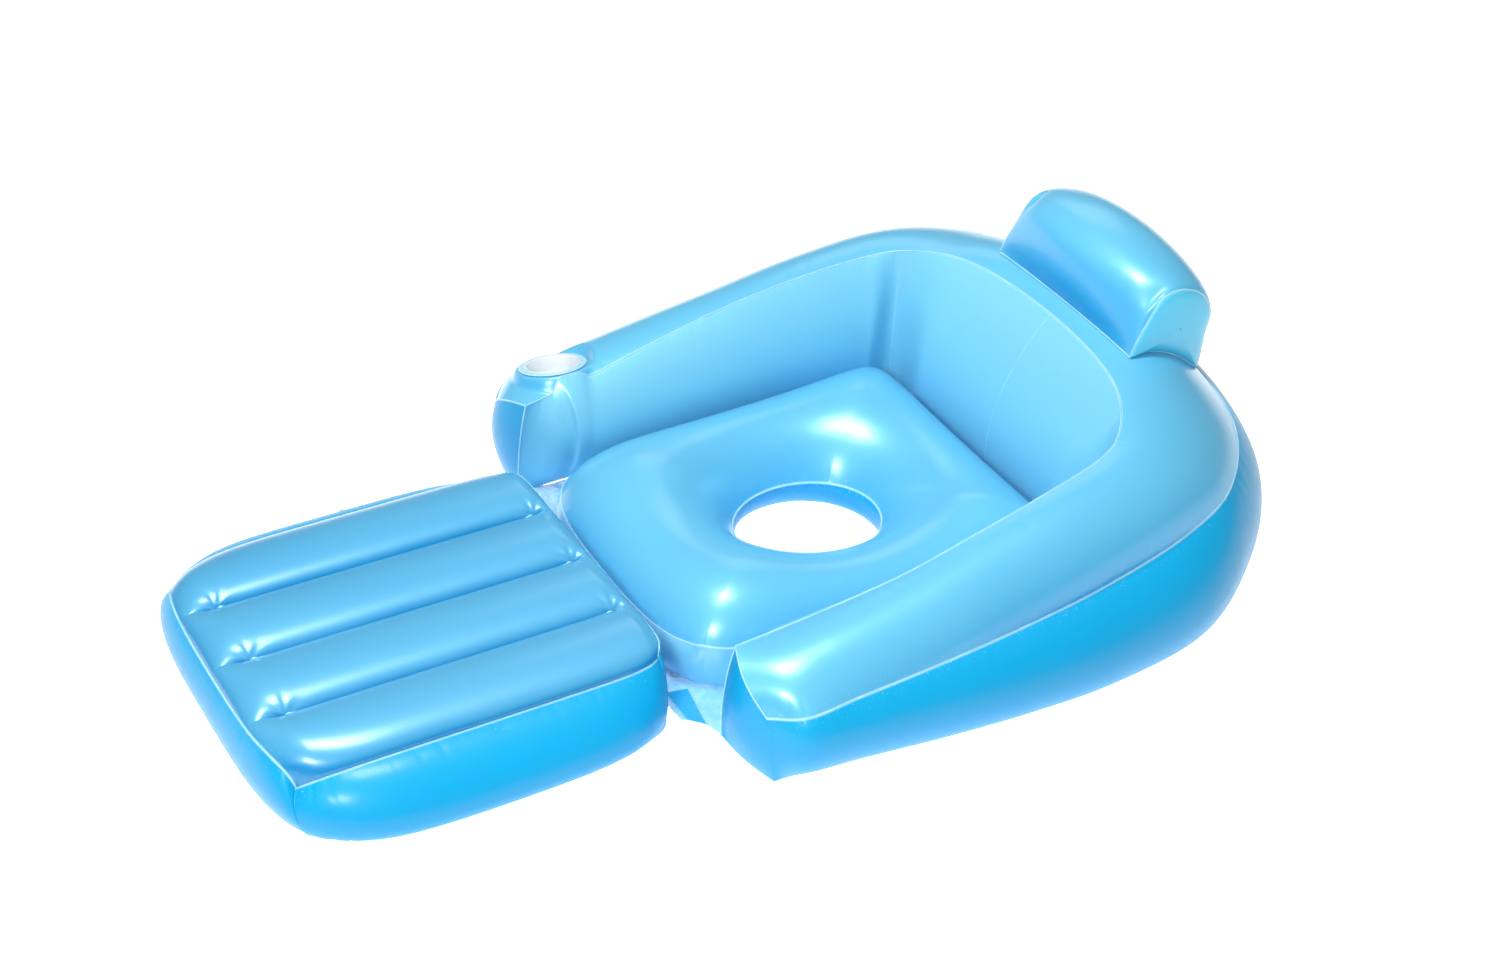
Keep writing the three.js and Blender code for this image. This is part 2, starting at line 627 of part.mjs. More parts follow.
// An upright strip of film with a welding lip along its top and its bottom
function baffle() {
  const low = FILM + 2 * GAP;
  const high = WELD_Z - FILM - 4 * GAP;
  const web = FILM / 2;
  const lip = BAFFLE_LIP / 2;
  const section = new THREE.Shape([
    [-lip, low], [lip, low], [lip, low + FILM], [web, low + FILM], [web, high - FILM], [lip, high - FILM],
    [lip, high], [-lip, high], [-lip, high - FILM], [-web, high - FILM], [-web, low + FILM], [-lip, low + FILM],
  ].map(([x, z]) => new THREE.Vector2(x, z)));
  const length = WELD_BACK_Y - WELD_FRONT_Y;
  const geometry = new THREE.ExtrudeGeometry(section, { depth: length, bevelEnabled: false });
  return geometry.rotateX(Math.PI / 2).translate(0, WELD_BACK_Y, 0);
}

// ---------------------------------------------------------------- floor film and hinge web

function sheet(outline, thickness, hole) {
  const shape = new THREE.Shape(outline.map((p) => new THREE.Vector2(p.x, p.y)));
  if (hole) shape.holes.push(new THREE.Path(hole.map((p) => new THREE.Vector2(p.x, p.y))));
  return new THREE.ExtrudeGeometry(shape, { depth: thickness, bevelEnabled: false });
}

// The flat film around the seat: it runs under the swell of the inner walls to the body's bottom
// seam, and on to the hinge line, with a concave free edge at each side.
function floorWeb() {
  const bottomSeam = sample(armColumns, (share) => innerBottom.getPoint(share));
  const inside = bottomSeam.map((p, index) => {
    const share = index / armColumns;
    const halfAngle = 2 * Math.atan((2 * innerRise(stationOf(share))) / innerTop.getPoint(share).distanceTo(p));
    const inset = 2 * GAP + (FILM + GAP) * Math.tan(halfAngle);
    return p.clone().addScaledVector(levelOut(bottomSeam, index, -1), inset);
  });
  const frontY = HINGE_Y + GAP;
  const cornerY = inside[0].y - 2 * GAP;
  const start = point(WEB_CORNER_X, cornerY);
  const end = point(HINGE_HALF_WIDTH + TAB_SIZE, frontY);
  const inwards = point(-1, 1).normalize();
  const freeEdge = sample(6, (share) => arcPoint(end, start, inwards, WEB_WAIST / 4, share));
  const mirrored = freeEdge.map((p) => point(-p.x, p.y)).reverse();
  const outline = [...freeEdge, ...inside.slice(1, -1), ...mirrored];
  const hole = seatWalk.map(([u, v]) => seatOutline(u, v, 0, 4 - 2 * GAP - FILM));
  return sheet(outline, FILM, hole);
}

// The footrest's half of the hinge: a strip of film from its back bottom seam to the hinge line
function hingeStrip() {
  const backSeam = (REST_FRONT_Y + REST_BACK_Y) / 2 + restHalfLength * 0.99;
  const front = backSeam + 2 * GAP + FILM / 2;
  const back = HINGE_Y - GAP;
  const corners = [[-1, front], [1, front], [1, back], [-1, back]];
  return sheet(corners.map(([side, y]) => point(side * HINGE_HALF_WIDTH, y)), FILM);
}

function hingeTab(side) {
  const inner = HINGE_HALF_WIDTH + TAB_SIZE;
  const corners = [[0, 0], [TAB_SIZE, 14], [TAB_SIZE, 30], [4, 30]];
  const outline = corners.map(([x, y]) => point(side * (inner - 4 + x), HINGE_Y + 6 + y));
  return sheet(outline, FILM).translate(0, 0, FILM + GAP);
}

// ---------------------------------------------------------------- head bolster

// The top panel's surface straight above or below a place on the plan, found by Newton's steps
function onTopPanel(x, y) {
  let [share, across] = [0.5, 0.5];
  const step = 1e-4;
  for (let turn = 0; turn < 12; turn += 1) {
    const here = crownPoint(share, across);
    const alongShare = crownPoint(share + step, across).sub(here).divideScalar(step);
    const alongAcross = crownPoint(share, across + step).sub(here).divideScalar(step);
    const [dx, dy] = [x - here.x, y - here.y];
    const det = alongShare.x * alongAcross.y - alongShare.y * alongAcross.x;
    share += (dx * alongAcross.y - dy * alongAcross.x) / det;
    across += (dy * alongShare.x - dx * alongShare.y) / det;
  }
  return crownPoint(share, across);
}

function bolsterBase(along, back) {
  const x = BOLSTER_HALF_LENGTH * (1 - 2 * along);
  const y = THREE.MathUtils.lerp(BOLSTER_FRONT_Y, BOLSTER_BACK_Y, back);
  return onTopPanel(x, y).add(point(0, 0, BOLSTER_STANDOFF));
}

const sectionCurve = (section) => new THREE.CatmullRomCurve3(
  section.map(([back, up]) => point(back, up)), false, 'centripetal',
);
const bolsterEndOutline = sectionCurve(BOLSTER_END_SECTION);
const bolsterMiddleOutline = sectionCurve(BOLSTER_MIDDLE_SECTION);
const bolsterChord = BOLSTER_END_SECTION[BOLSTER_END_SECTION.length - 1][0];

// Over the bolster from its front base seam to its back one; the middle stands proud of the ends.
function bolsterWrap(along, over) {
  const front = bolsterBase(along, 0);
  const rear = bolsterBase(along, 1);
  const back = rear.clone().sub(front);
  const scale = back.length() / bolsterChord;
  back.normalize();
  const up = point(0, -back.z, back.y).normalize();
  const swell = Math.sin(Math.PI * clamp01(along)) ** 0.55;
  const section = bolsterEndOutline.getPoint(over).lerp(bolsterMiddleOutline.getPoint(over), swell);
  if (over <= 0) return front;
  if (over >= 1) return rear;
  const place = front.clone().addScaledVector(back, section.x * scale).addScaledVector(up, section.y * scale);
  place.x -= BOLSTER_LEAN * (1 - 2 * along) * Math.sin(Math.PI * over);
  return place;
}

function bolsterEnd(name, side, wrapRows, baseRows) {
  const column = side > 0 ? 0 : BOLSTER_COLUMNS;
  const edge = wrapRows.map((row) => row[column]);
  const base = baseRows.map((row) => row[column]).slice(1, -1).reverse();
  const ring = [...edge, ...base];
  const middle = ring.reduce((sum, p) => sum.add(p), point(0, 0, 0)).divideScalar(ring.length);
  const raised = (share) => ring.map((p) => {
    const place = p.clone().lerp(middle, share);
    place.x += side * BOLSTER_END_BULGE * Math.sqrt(1 - (1 - share) ** 2);
    return place;
  });
  return gridPanel(name, [ring, raised(0.45), raised(1)], true);
}

function bolsterPanels() {
  const wrapRows = sample(BOLSTER_WRAP_ROWS, (over) => (
    sample(BOLSTER_COLUMNS, (along) => bolsterWrap(along, over))));
  const baseRows = sample(BOLSTER_BASE_ROWS, (back) => (
    sample(BOLSTER_COLUMNS, (along) => bolsterBase(along, back))));
  valveFrames.headrest = gridFrame(wrapRows, 8, BOLSTER_COLUMNS / 2, point(0, 1));
  return [
    gridPanel('headrest_wrap_panel', wrapRows),
    gridPanel('headrest_base_panel', baseRows),
    bolsterEnd('headrest_left_end', 1, wrapRows, baseRows),
    bolsterEnd('headrest_right_end', -1, wrapRows, baseRows),
  ];
}

// ---------------------------------------------------------------- cup holder

// A ring or tube turned about +Z, from a closed outline of [radius, height] points
function turned(outline, segments) {
  const closed = [...outline, outline[0]].map(([radius, height]) => new THREE.Vector2(radius, height));
  return new THREE.LatheGeometry(closed, segments).rotateX(Math.PI / 2);
}

function turnedDisc(outline, segments) {
  const profile = outline.map(([radius, height]) => new THREE.Vector2(radius, height));
  return new THREE.LatheGeometry(profile, segments).rotateX(Math.PI / 2);
}

function cupPlace() {
  const turn = new THREE.Quaternion().setFromUnitVectors(point(0, 0, 1), cupAxis);
  const centre = point(CUP_CENTRE.x, CUP_CENTRE.y, cupMouth.z);
  return new THREE.Matrix4().compose(centre, turn, point(1, 1, 1));
}

function addCupHolder() {
  const inner = CUP_RADIUS - CUP_WALL;
  const low = 2 * GAP;
  const high = low + CUP_FLANGE_THICKNESS;
  const flange = turned([
    [CUP_RADIUS + GAP, low], [CUP_FLANGE_RADIUS - 1, low], [CUP_FLANGE_RADIUS, low + 1],
    [CUP_FLANGE_RADIUS - 2, high], [CUP_RADIUS + GAP, high],
  ], CUP_SEGMENTS);
  const wall = turned([
    [inner, -CUP_DEPTH], [CUP_RADIUS, -CUP_DEPTH], [CUP_RADIUS, high], [inner, high],
  ], CUP_SEGMENTS);
  const floor = turnedDisc([
    [0, -CUP_DEPTH - GAP - CUP_WALL], [CUP_RADIUS, -CUP_DEPTH - GAP - CUP_WALL],
    [CUP_RADIUS, -CUP_DEPTH - GAP], [0, -CUP_DEPTH - GAP],
  ], CUP_SEGMENTS);
  const holder = new THREE.Group();
  holder.applyMatrix4(cupPlace());
  addMesh('cup_holder_flange', flange, WEB_BLUE, 0.2, holder);
  addMesh('cup_holder_wall', wall, CUP_WHITE, 0.3, holder);
  addMesh('cup_holder_floor', floor, CUP_WHITE, 0.3, holder);
  group.add(holder);
}

// ---------------------------------------------------------------- valves

function valveMatrix({ place, normal }) {
  const turn = new THREE.Quaternion().setFromUnitVectors(point(0, 0, 1), normal);
  return new THREE.Matrix4().compose(place, turn, point(1, 1, 1));
}

// Heights along the valve's axis, from the film's outer surface
function valveLevels(standoff) {
  const flangeLow = standoff;
  const collarLow = flangeLow + VALVE.flangeThickness + GAP;
  const capLow = collarLow + VALVE.collarThickness + GAP;
  return { flangeLow, collarLow, capLow };
}

function addValve(prefix, frame) {
  const standoff = prefix === 'seat' ? SEAT_VALVE_STANDOFF : VALVE_STANDOFF;
  const { flangeLow, collarLow, capLow } = valveLevels(standoff);
  const stemEnd = collarLow - VALVE.stemDepth;
  const flange = turned([
    [VALVE.bore, flangeLow], [VALVE.flangeRadius, flangeLow],
    [VALVE.flangeRadius - 1, flangeLow + VALVE.flangeThickness], [VALVE.bore, flangeLow + VALVE.flangeThickness],
  ], VALVE.segments);
  const stem = turned([
    [VALVE.stemBore, stemEnd], [VALVE.lipRadius, stemEnd], [VALVE.lipRadius, stemEnd + VALVE.lipThickness],
    [VALVE.stemRadius, stemEnd + VALVE.lipThickness], [VALVE.stemRadius, collarLow],
    [VALVE.collarRadius, collarLow], [VALVE.collarRadius, collarLow + VALVE.collarThickness],
    [VALVE.stemBore, collarLow + VALVE.collarThickness],
  ], VALVE.segments);
  const flapHigh = stemEnd - GAP;
  const flap = turnedDisc([
    [0, flapHigh - VALVE.flapThickness], [VALVE.flapRadius, flapHigh - VALVE.flapThickness],
    [VALVE.flapRadius, flapHigh], [0, flapHigh],
  ], VALVE.segments);
  const cap = turnedDisc([
    [0, capLow - VALVE.plugDepth], [VALVE.plugTip, capLow - VALVE.plugDepth], [VALVE.plugTop, capLow],
    [VALVE.capRadius, capLow], [VALVE.capRadius, capLow + VALVE.capThickness], [0, capLow + VALVE.capThickness],
  ], VALVE.segments);
  const strap = new THREE.BoxGeometry(VALVE.lugLength + 1.5, VALVE.lugWidth, VALVE.capThickness);
  strap.translate(VALVE.hingeRadius - VALVE.lugLength / 2 - 1.2, 0, capLow + VALVE.capThickness / 2);
  const plug = fromManifold(toManifold(cap).add(toManifold(strap)));
  const valve = new THREE.Group();
  valve.applyMatrix4(valveMatrix(frame));
  addMesh(`${prefix}_valve_flange`, flange, VALVE_CLEAR, 0.3, valve);
  addMesh(`${prefix}_valve_stem`, stem, VALVE_CLEAR, 0.3, valve);
  addMesh(`${prefix}_valve_flap`, flap, VALVE_CLEAR, 0.3, valve);
  addMesh(`${prefix}_valve_plug`, plug, VALVE_CLEAR, 0.3, valve);
  group.add(valve);
}

// ---------------------------------------------------------------- assembly

const film = {
  ...skinSolids(bodyPanels()),
  ...skinSolids(seatPanels()),
  ...skinSolids(restPanels()),
  ...skinSolids(bolsterPanels()),
};

const wallPanels = ['body_outer_wall', 'seat_hole_band', 'footrest_side_band'];
film.body_top_panel = punch(film.body_top_panel, cupPlace(), CUP_FLANGE_RADIUS + GAP, 40, CUP_SEGMENTS);

const valvePanels = {
  body: 'body_outer_wall', seat: 'seat_hole_band', footrest: 'footrest_side_band', headrest: 'headrest_wrap_panel',
};
for (const [prefix, name] of Object.entries(valvePanels)) {
  const place = valveMatrix(valveFrames[prefix]);
  film[name] = punch(film[name], place, VALVE.filmHole, 8, VALVE.segments);
}

for (const [name, geometry] of Object.entries(film)) {
  addMesh(name, geometry, wallPanels.includes(name) ? WALL_BLUE : FILM_BLUE);
}
sample(TUBES - 2, (_, index) => {
  const strip = addMesh(`footrest_baffle_${index + 1}`, baffle(), FILM_BLUE);
  strip.position.x = (index + 1 - TUBES / 2) * TUBE_PITCH;
});
addMesh('floor_web', floorWeb(), WEB_BLUE);
addMesh('footrest_hinge_strip', hingeStrip(), WEB_BLUE);
addMesh('left_hinge_tab', hingeTab(1), WEB_BLUE);
addMesh('right_hinge_tab', hingeTab(-1), WEB_BLUE);
addCupHolder();
for (const [prefix, frame] of Object.entries(valveFrames)) addValve(prefix, frame);

export default group;
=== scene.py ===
import math

import bpy
import numpy as np
from mathutils import Matrix, Vector


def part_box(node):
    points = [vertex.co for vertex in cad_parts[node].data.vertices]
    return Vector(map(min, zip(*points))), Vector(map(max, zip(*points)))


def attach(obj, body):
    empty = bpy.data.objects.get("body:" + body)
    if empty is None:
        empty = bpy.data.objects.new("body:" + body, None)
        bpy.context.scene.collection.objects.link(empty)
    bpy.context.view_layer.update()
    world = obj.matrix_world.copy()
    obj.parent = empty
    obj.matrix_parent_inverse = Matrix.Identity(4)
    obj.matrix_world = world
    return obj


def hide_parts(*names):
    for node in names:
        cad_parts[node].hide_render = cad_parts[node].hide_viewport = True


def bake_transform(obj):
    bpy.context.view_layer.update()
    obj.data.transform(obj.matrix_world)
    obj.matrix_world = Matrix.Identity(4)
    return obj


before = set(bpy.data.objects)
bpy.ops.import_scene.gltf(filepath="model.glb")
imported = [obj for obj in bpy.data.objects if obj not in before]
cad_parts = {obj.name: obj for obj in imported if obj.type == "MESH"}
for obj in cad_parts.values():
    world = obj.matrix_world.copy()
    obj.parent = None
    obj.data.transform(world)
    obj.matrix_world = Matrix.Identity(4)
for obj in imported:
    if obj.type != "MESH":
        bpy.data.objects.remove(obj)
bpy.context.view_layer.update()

# ---------------------------------------------------------------- dimensions, in millimetres

# Half of the U, from an arm's front end to the middle of the back
STATIONS = {
    "inner_top": [
        (319, -180, 156), (322, -135, 162), (327, -67, 173), (337, 72, 202), (335, 188, 230),
        (326, 306, 253), (307, 423, 272), (285, 463, 282), (205, 517, 298), (0, 545, 303),
    ],
    "outer_top": [
        (415, -184, 103), (452, -146, 117), (455, -67, 125), (455, 72, 135), (451, 200, 145),
        (444, 335, 160), (424, 500, 188), (385, 602, 207), (270, 695, 229), (0, 732, 245),
    ],
    "outer_bottom": [
        (430, -176, 0), (432, -134, 0), (434, -60, 0), (448, 72, 0), (456, 202, 0),
        (462, 340, 0), (446, 505, 0), (397, 611, 0), (282, 722, 0), (0, 762, 0),
    ],
    "inner_bottom": [
        (316, -193, 0), (318, -140, 0), (320, -67, 0), (322, 72, 0), (322, 188, 0),
        (316, 306, 0), (300, 410, 0), (268, 452, 0), (190, 466, 0), (0, 472, 0),
    ],
}
CROWNS = [12, 20, 27, 29, 31, 37, 38, 33, 30, 49]
WALL_BULGES = [8, 30, 40, 48, 56, 57, 52, 38, 45, 69]
BACK_CROWN_LEAN = 0.45
HALF = 9  # the station at the middle of the back
CORNER = 7  # the station of the upright seam in each back corner
FRONT_EDGE_FORWARD = 12
FRONT_FACE_BULGE = 11
INNER_BULGE, INNER_END_BULGE, INNER_CORNER_BULGE = 48, 6, 14

SEAT_HALF_WIDTH, SEAT_TAPER = 272, 0.06
SEAT_FRONT_Y, SEAT_BACK_Y, SEAT_SEAM_Z = -208, 434, 74
SEAT_CORNER_CUT, SEAT_FRONT_CORNER_CUT, SEAT_FRONT_DIP = 16, 42, 9
SEAT_FRONT_BULGE, SEAT_SIDE_BULGE = 13, 5
SEAT_CROWN, SEAT_CROWN_GROWTH = 16, 0.235
HOLE_Y = 133
HOLE_TOP = (98, 117, 46)
HOLE_BOTTOM = (116, 122)
HOLE_BULGE = 7

TUBE_PITCH, TUBES, TUBE_RISE = 125, 4, 26
REST_FRONT_Y, REST_BACK_Y, REST_SEAM_Z = -800, -231, 97
WELD_Z, WELD_FRONT_Y, WELD_BACK_Y = 100, -745, -262
REST_CORNER_CUT, REST_FRONT_CORNER_CUT = 18, 28
REST_FOOT_CORNER_CUT, REST_FOOT_FRONT_CORNER_CUT = 19, 37
REST_FOOT_SPREAD, REST_FOOT_BOW, REST_CORNER_DROP = 33, 13, 30
REST_SIDE_BULGE, REST_FRONT_BULGE, REST_CORNER_BULGE, REST_BACK_BULGE = 46, 17, 14, 1.5
REST_HALF_WIDTH = TUBES * TUBE_PITCH / 2
REST_HALF_LENGTH = (REST_BACK_Y - REST_FRONT_Y) / 2
REST_MIDDLE_Y = (REST_BACK_Y + REST_FRONT_Y) / 2

BOLSTER_HALF, BOLSTER_LEAN = 168, 4
BOLSTER_FRONT_Y, BOLSTER_BACK_Y, BOLSTER_STANDOFF, BOLSTER_END_BULGE = 566, 701, 1.9, 7
END_SECTION = [
    (0, 0), (0, 27), (3, 54), (6, 78), (13, 100), (34, 115), (64, 119), (94, 112), (119, 90),
    (128, 56), (140, 20), (145, 0),
]
MIDDLE_SECTION = [
    (0, 0), (-15, 26), (-22, 58), (-19, 92), (3, 122), (38, 142), (74, 149), (118, 133),
    (148, 88), (160, 40), (145, 0),
]

CUP = np.array([-384.0, -102.0])
CUP_TILT = math.radians(17)
CUP_DRAWN, CUP_FLAT = 67, 57  # the film is drawn flat between these radii
CUP_HOLE = 44  # radius of the cut-out in the top film
VALVE_OPENING = 12  # radius left open round each valve

# The floor stands clear of the underside, in metres, so that the footrest can fold under the seat
FLOOR_Z = -0.26

HINGE_Y, HINGE_HALF, WEB_CORNER_X, WEB_WAIST, TAB = -227, 232, 309, 26, 32
TAB_CORNERS = [(205, 5), (268, 5), (291, 27), (212, 41)]  # x, and distance back from the hinge

ROW_GATHER = 0.055  # how far the mesh rows crowd towards both seams
FOOT_SHARE = 0.99  # length of the footrest's bottom against its top
WELD_POINTS = 90
ABOVE = np.array([0.0, 0.0, 1.0])

# ---------------------------------------------------------------- numbers and curves


def smooth(t):
    t = np.clip(t, 0, 1)
    return t * t * (3 - 2 * t)


def unit(v):
    return v / np.maximum(np.linalg.norm(v, axis=-1, keepdims=True), 1e-12)


def curve(points, shares):
    """A centripetal Catmull-Rom curve through points, at shares from 0 to 1."""
    p = np.array(points, float)
    before, after = 2 * p[0] - p[1], 2 * p[-1] - p[-2]
    q = np.vstack([before, p, after])
    place = np.asarray(shares, float) * (len(p) - 1)
    index = np.minimum(place.astype(int), len(p) - 2)
    t = (place - index)[:, None]
    a, b, c, d = (q[index + k] for k in range(4))
    steps = (b - a, c - b, d - c)
    dt = [np.maximum(np.linalg.norm(step, axis=1, keepdims=True), 1e-6) ** 0.5 for step in steps]
    m1 = ((b - a) / dt[0] - (c - a) / (dt[0] + dt[1]) + (c - b) / dt[1]) * dt[1]
    m2 = ((c - b) / dt[1] - (d - b) / (dt[1] + dt[2]) + (d - c) / dt[2]) * dt[1]
    return b + m1 * t + (3 * (c - b) - 2 * m1 - m2) * t**2 + (2 * (b - c) + m1 + m2) * t**3


def arcs(a, b, out, rise, shares):
    """Rows of arcs from each point of a to each point of b, standing `rise` off the chord along out."""
    chord = np.linalg.norm(b - a, axis=1)
    half = 2 * np.arctan(2 * np.maximum(rise, 0.01) / chord)
    radius = chord / (2 * np.sin(half))
    rows = []
    for s in shares:
        angle = (2 * s - 1) * half
        along = 0.5 + radius * np.sin(angle) / chord
        height = radius * (np.cos(angle) - np.cos(half))
        rows.append(a + (b - a) * along[:, None] + out * height[:, None])
    return np.array(rows)


def level_out(line, side, spread=0):
    """The level direction square to a line, softened over `spread` points to each side."""
    run = np.gradient(line, axis=0)
    out = unit(np.stack([run[:, 1] * side, -run[:, 0] * side, np.zeros(len(line))], 1))
    if spread:
        kernel = np.hanning(2 * spread + 3)[1:-1]
        padded = np.vstack([out[:1]] * spread + [out] + [out[-1:]] * spread)
        out = unit(np.stack([np.convolve(padded[:, k], kernel, "valid") for k in range(3)], 1))
    return out


def at_station(values, station):
    """Values at the stations, joined smoothly."""
    v = np.array([2 * values[0] - values[1], *values, values[-2]], float)
    i = np.minimum(station.astype(int), len(values) - 2)
    t = station - i
    a, b, c, d = (v[i + k] for k in range(4))
    return b + 0.5 * t * (c - a + t * (2 * a - 5 * b + 4 * c - d + t * (3 * (b - c) + d - a)))


def lengths(line):
    return np.concatenate([[0], np.cumsum(np.linalg.norm(np.diff(line, axis=0), axis=1))])


# ---------------------------------------------------------------- meshes


def normals_of(grid, closed=False):
    if closed:
        wrapped = np.concatenate([grid[:, -1:], grid, grid[:, :1]], axis=1)
        across = np.gradient(wrapped, axis=1)[:, 1:-1]
    else:
        across = np.gradient(grid, axis=1)
    return unit(np.cross(across, np.gradient(grid, axis=0)))


def mesh_object(name, points, faces, material, edge=None, angle=None):
    mesh = bpy.data.meshes.new(name)
    metres = [tuple(p) for p in np.asarray(points) * 0.001]
    mesh.from_pydata(metres, [], [tuple(map(int, f)) for f in faces])
    mesh.validate()
    if edge is not None:
        layer = mesh.attributes.new("seam_distance", "FLOAT", "POINT")
        layer.data.foreach_set("value", np.asarray(edge, np.float32).ravel())
    piece = bpy.data.objects.new(name, mesh)
    bpy.context.scene.collection.objects.link(piece)
    mesh.polygons.foreach_set("use_smooth", [True] * len(mesh.polygons))
    if angle:
        mesh.set_sharp_from_angle(angle=math.radians(angle))
    mesh.materials.append(material)
    return piece


def grid_faces(rows, columns, closed=False, flip=False, keep=None):
    faces = []
    for r in range(rows - 1):
        for c in range(columns if closed else columns - 1):
            n = (c + 1) % columns
            quad = (r * columns + c, r * columns + n, (r + 1) * columns + n, (r + 1) * columns + c)
            if keep is None or all(keep[q] for q in quad):
                faces.append(quad[::-1] if flip else quad)
    return faces


def edge_distance(grid, ends=(True, True)):
    """Distance along each column to the nearer seam, in metres."""
    step = np.linalg.norm(np.diff(grid, axis=0), axis=2)
    down = np.vstack([np.zeros(grid.shape[1]), np.cumsum(step, axis=0)])
    up = down[-1:] - down
    far = np.full_like(down, 1e3)
    return np.minimum(down if ends[0] else far, up if ends[1] else far) * 0.001


def outward(grid, out, closed):
    """The grid's normals, turned to the side that `out` points to, and whether its faces need turning."""
    normal = normals_of(grid, closed)
    side = 1.0 if float((normal * out).sum()) >= 0 else -1.0
    return normal * side, side < 0


def pucker(grid, out, seed, spacing, depth, reach, closed=False, gather=1.0):
    """Short creases that run in from the seams, as film has where a curved seam gathers it."""
    rng = np.random.RandomState(seed)
    normal, _ = outward(grid, out, closed)
    step = np.linalg.norm(np.diff(grid, axis=0), axis=2)
    down = np.vstack([np.zeros(grid.shape[1]), np.cumsum(step, axis=0)])
    total = np.zeros(grid.shape[:2])
    for end in range(2):
        distance = down if end == 0 else down[-1:] - down
        along = lengths(grid[0] if end == 0 else grid[-1])
        count = int(along[-1] / spacing)
        for place in (np.arange(count) + rng.uniform(0.1, 0.9, count)) * spacing:
            amount = depth * rng.uniform(0.2, 1.0) ** 1.5
            width, length = rng.uniform(2.6, 5.0), rng.uniform(*reach)
            slant = rng.uniform(-0.25, 0.25)
            near = np.exp(-(((along[None, :] - place - slant * distance) / width) ** 2))
            ramp = np.minimum(distance / 5.0, 1) * np.exp(-((distance / length) ** 2))
            total += amount * near * ramp
    return grid - normal * (total * gather)[..., None]


def surface(name, grid, out, material, closed=False, ends=(True, True), keep=None, valve=None):
    rows, columns = grid.shape[:2]
    _, flip = outward(grid, out, closed)
    if valve:
        corners = np.array(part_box(f"{valve}_valve_flange"), float) * 1000
        keep = (np.linalg.norm(grid - corners.mean(0), axis=-1) > VALVE_OPENING).ravel()
    faces = grid_faces(rows, columns, closed, flip, keep)
    return mesh_object(name, grid.reshape(-1, 3), faces, material, edge_distance(grid, ends).ravel())


def lathe(name, profile, matrix, material, ripple, turns=72):
    """A closed ring turned from a closed profile of (radius, height), in millimetres."""
    around = np.linspace(0, 2 * math.pi, turns + 1)[:-1]
    wave = 1 + ripple * np.sin(around * 9) * np.sin(around * 4 + 1)
    points = [
        [r * w * math.cos(t), r * w * math.sin(t), z, 1] for r, z in profile for t, w in zip(around, wave)
    ]
    points = (np.array(points) @ np.array(matrix).T)[:, :3]
    count = len(profile)
    faces = [(k * turns + i, k * turns + (i + 1) % turns, (k + 1) % count * turns + (i + 1) % turns,
              (k + 1) % count * turns + i) for k in range(count) for i in range(turns)]
    return mesh_object(name, points, faces, material, angle=35)


def bead(name, line, material, radius=1.3, closed=False, lift=(0, 0, 0)):
    """A weld bead along a seam."""
    line = np.asarray(line, float) + np.array(lift, float)
    if not closed:
        keep = np.concatenate([[True], np.linalg.norm(np.diff(line, axis=0), axis=1) > 1e-4])
        line = line[keep]
    run = unit(np.roll(line, -1, 0) - np.roll(line, 1, 0)) if closed else unit(np.gradient(line, axis=0))
    side = unit(np.cross(run, np.array([0.13, 0.29, 0.95])))
    up = np.cross(side, run)
    turns = np.linspace(0, 2 * math.pi, 9)[:-1]
    radius = np.broadcast_to(radius, len(line))[:, None]
    ring = np.stack([line + radius * (side * math.cos(t) + up * math.sin(t)) for t in turns], 1)
    count = len(line)
    faces = []
    for i in range(count if closed else count - 1):
        j = (i + 1) % count
        faces += [(i * 8 + k, i * 8 + (k + 1) % 8, j * 8 + (k + 1) % 8, j * 8 + k) for k in range(8)]
    if not closed:
        faces += [tuple(range(7, -1, -1)), tuple((count - 1) * 8 + k for k in range(8))]
    return mesh_object(name, ring.reshape(-1, 3), faces, material)


# ---------------------------------------------------------------- materials


def srgb(r, g, b):
    """An sRGB colour from 0 to 255, as the linear colour that sockets take."""
    shares = (r / 255, g / 255, b / 255)
    return tuple(c / 12.92 if c <= 0.04 else ((c + 0.055) / 1.055) ** 2.4 for c in shares) + (1.0,)


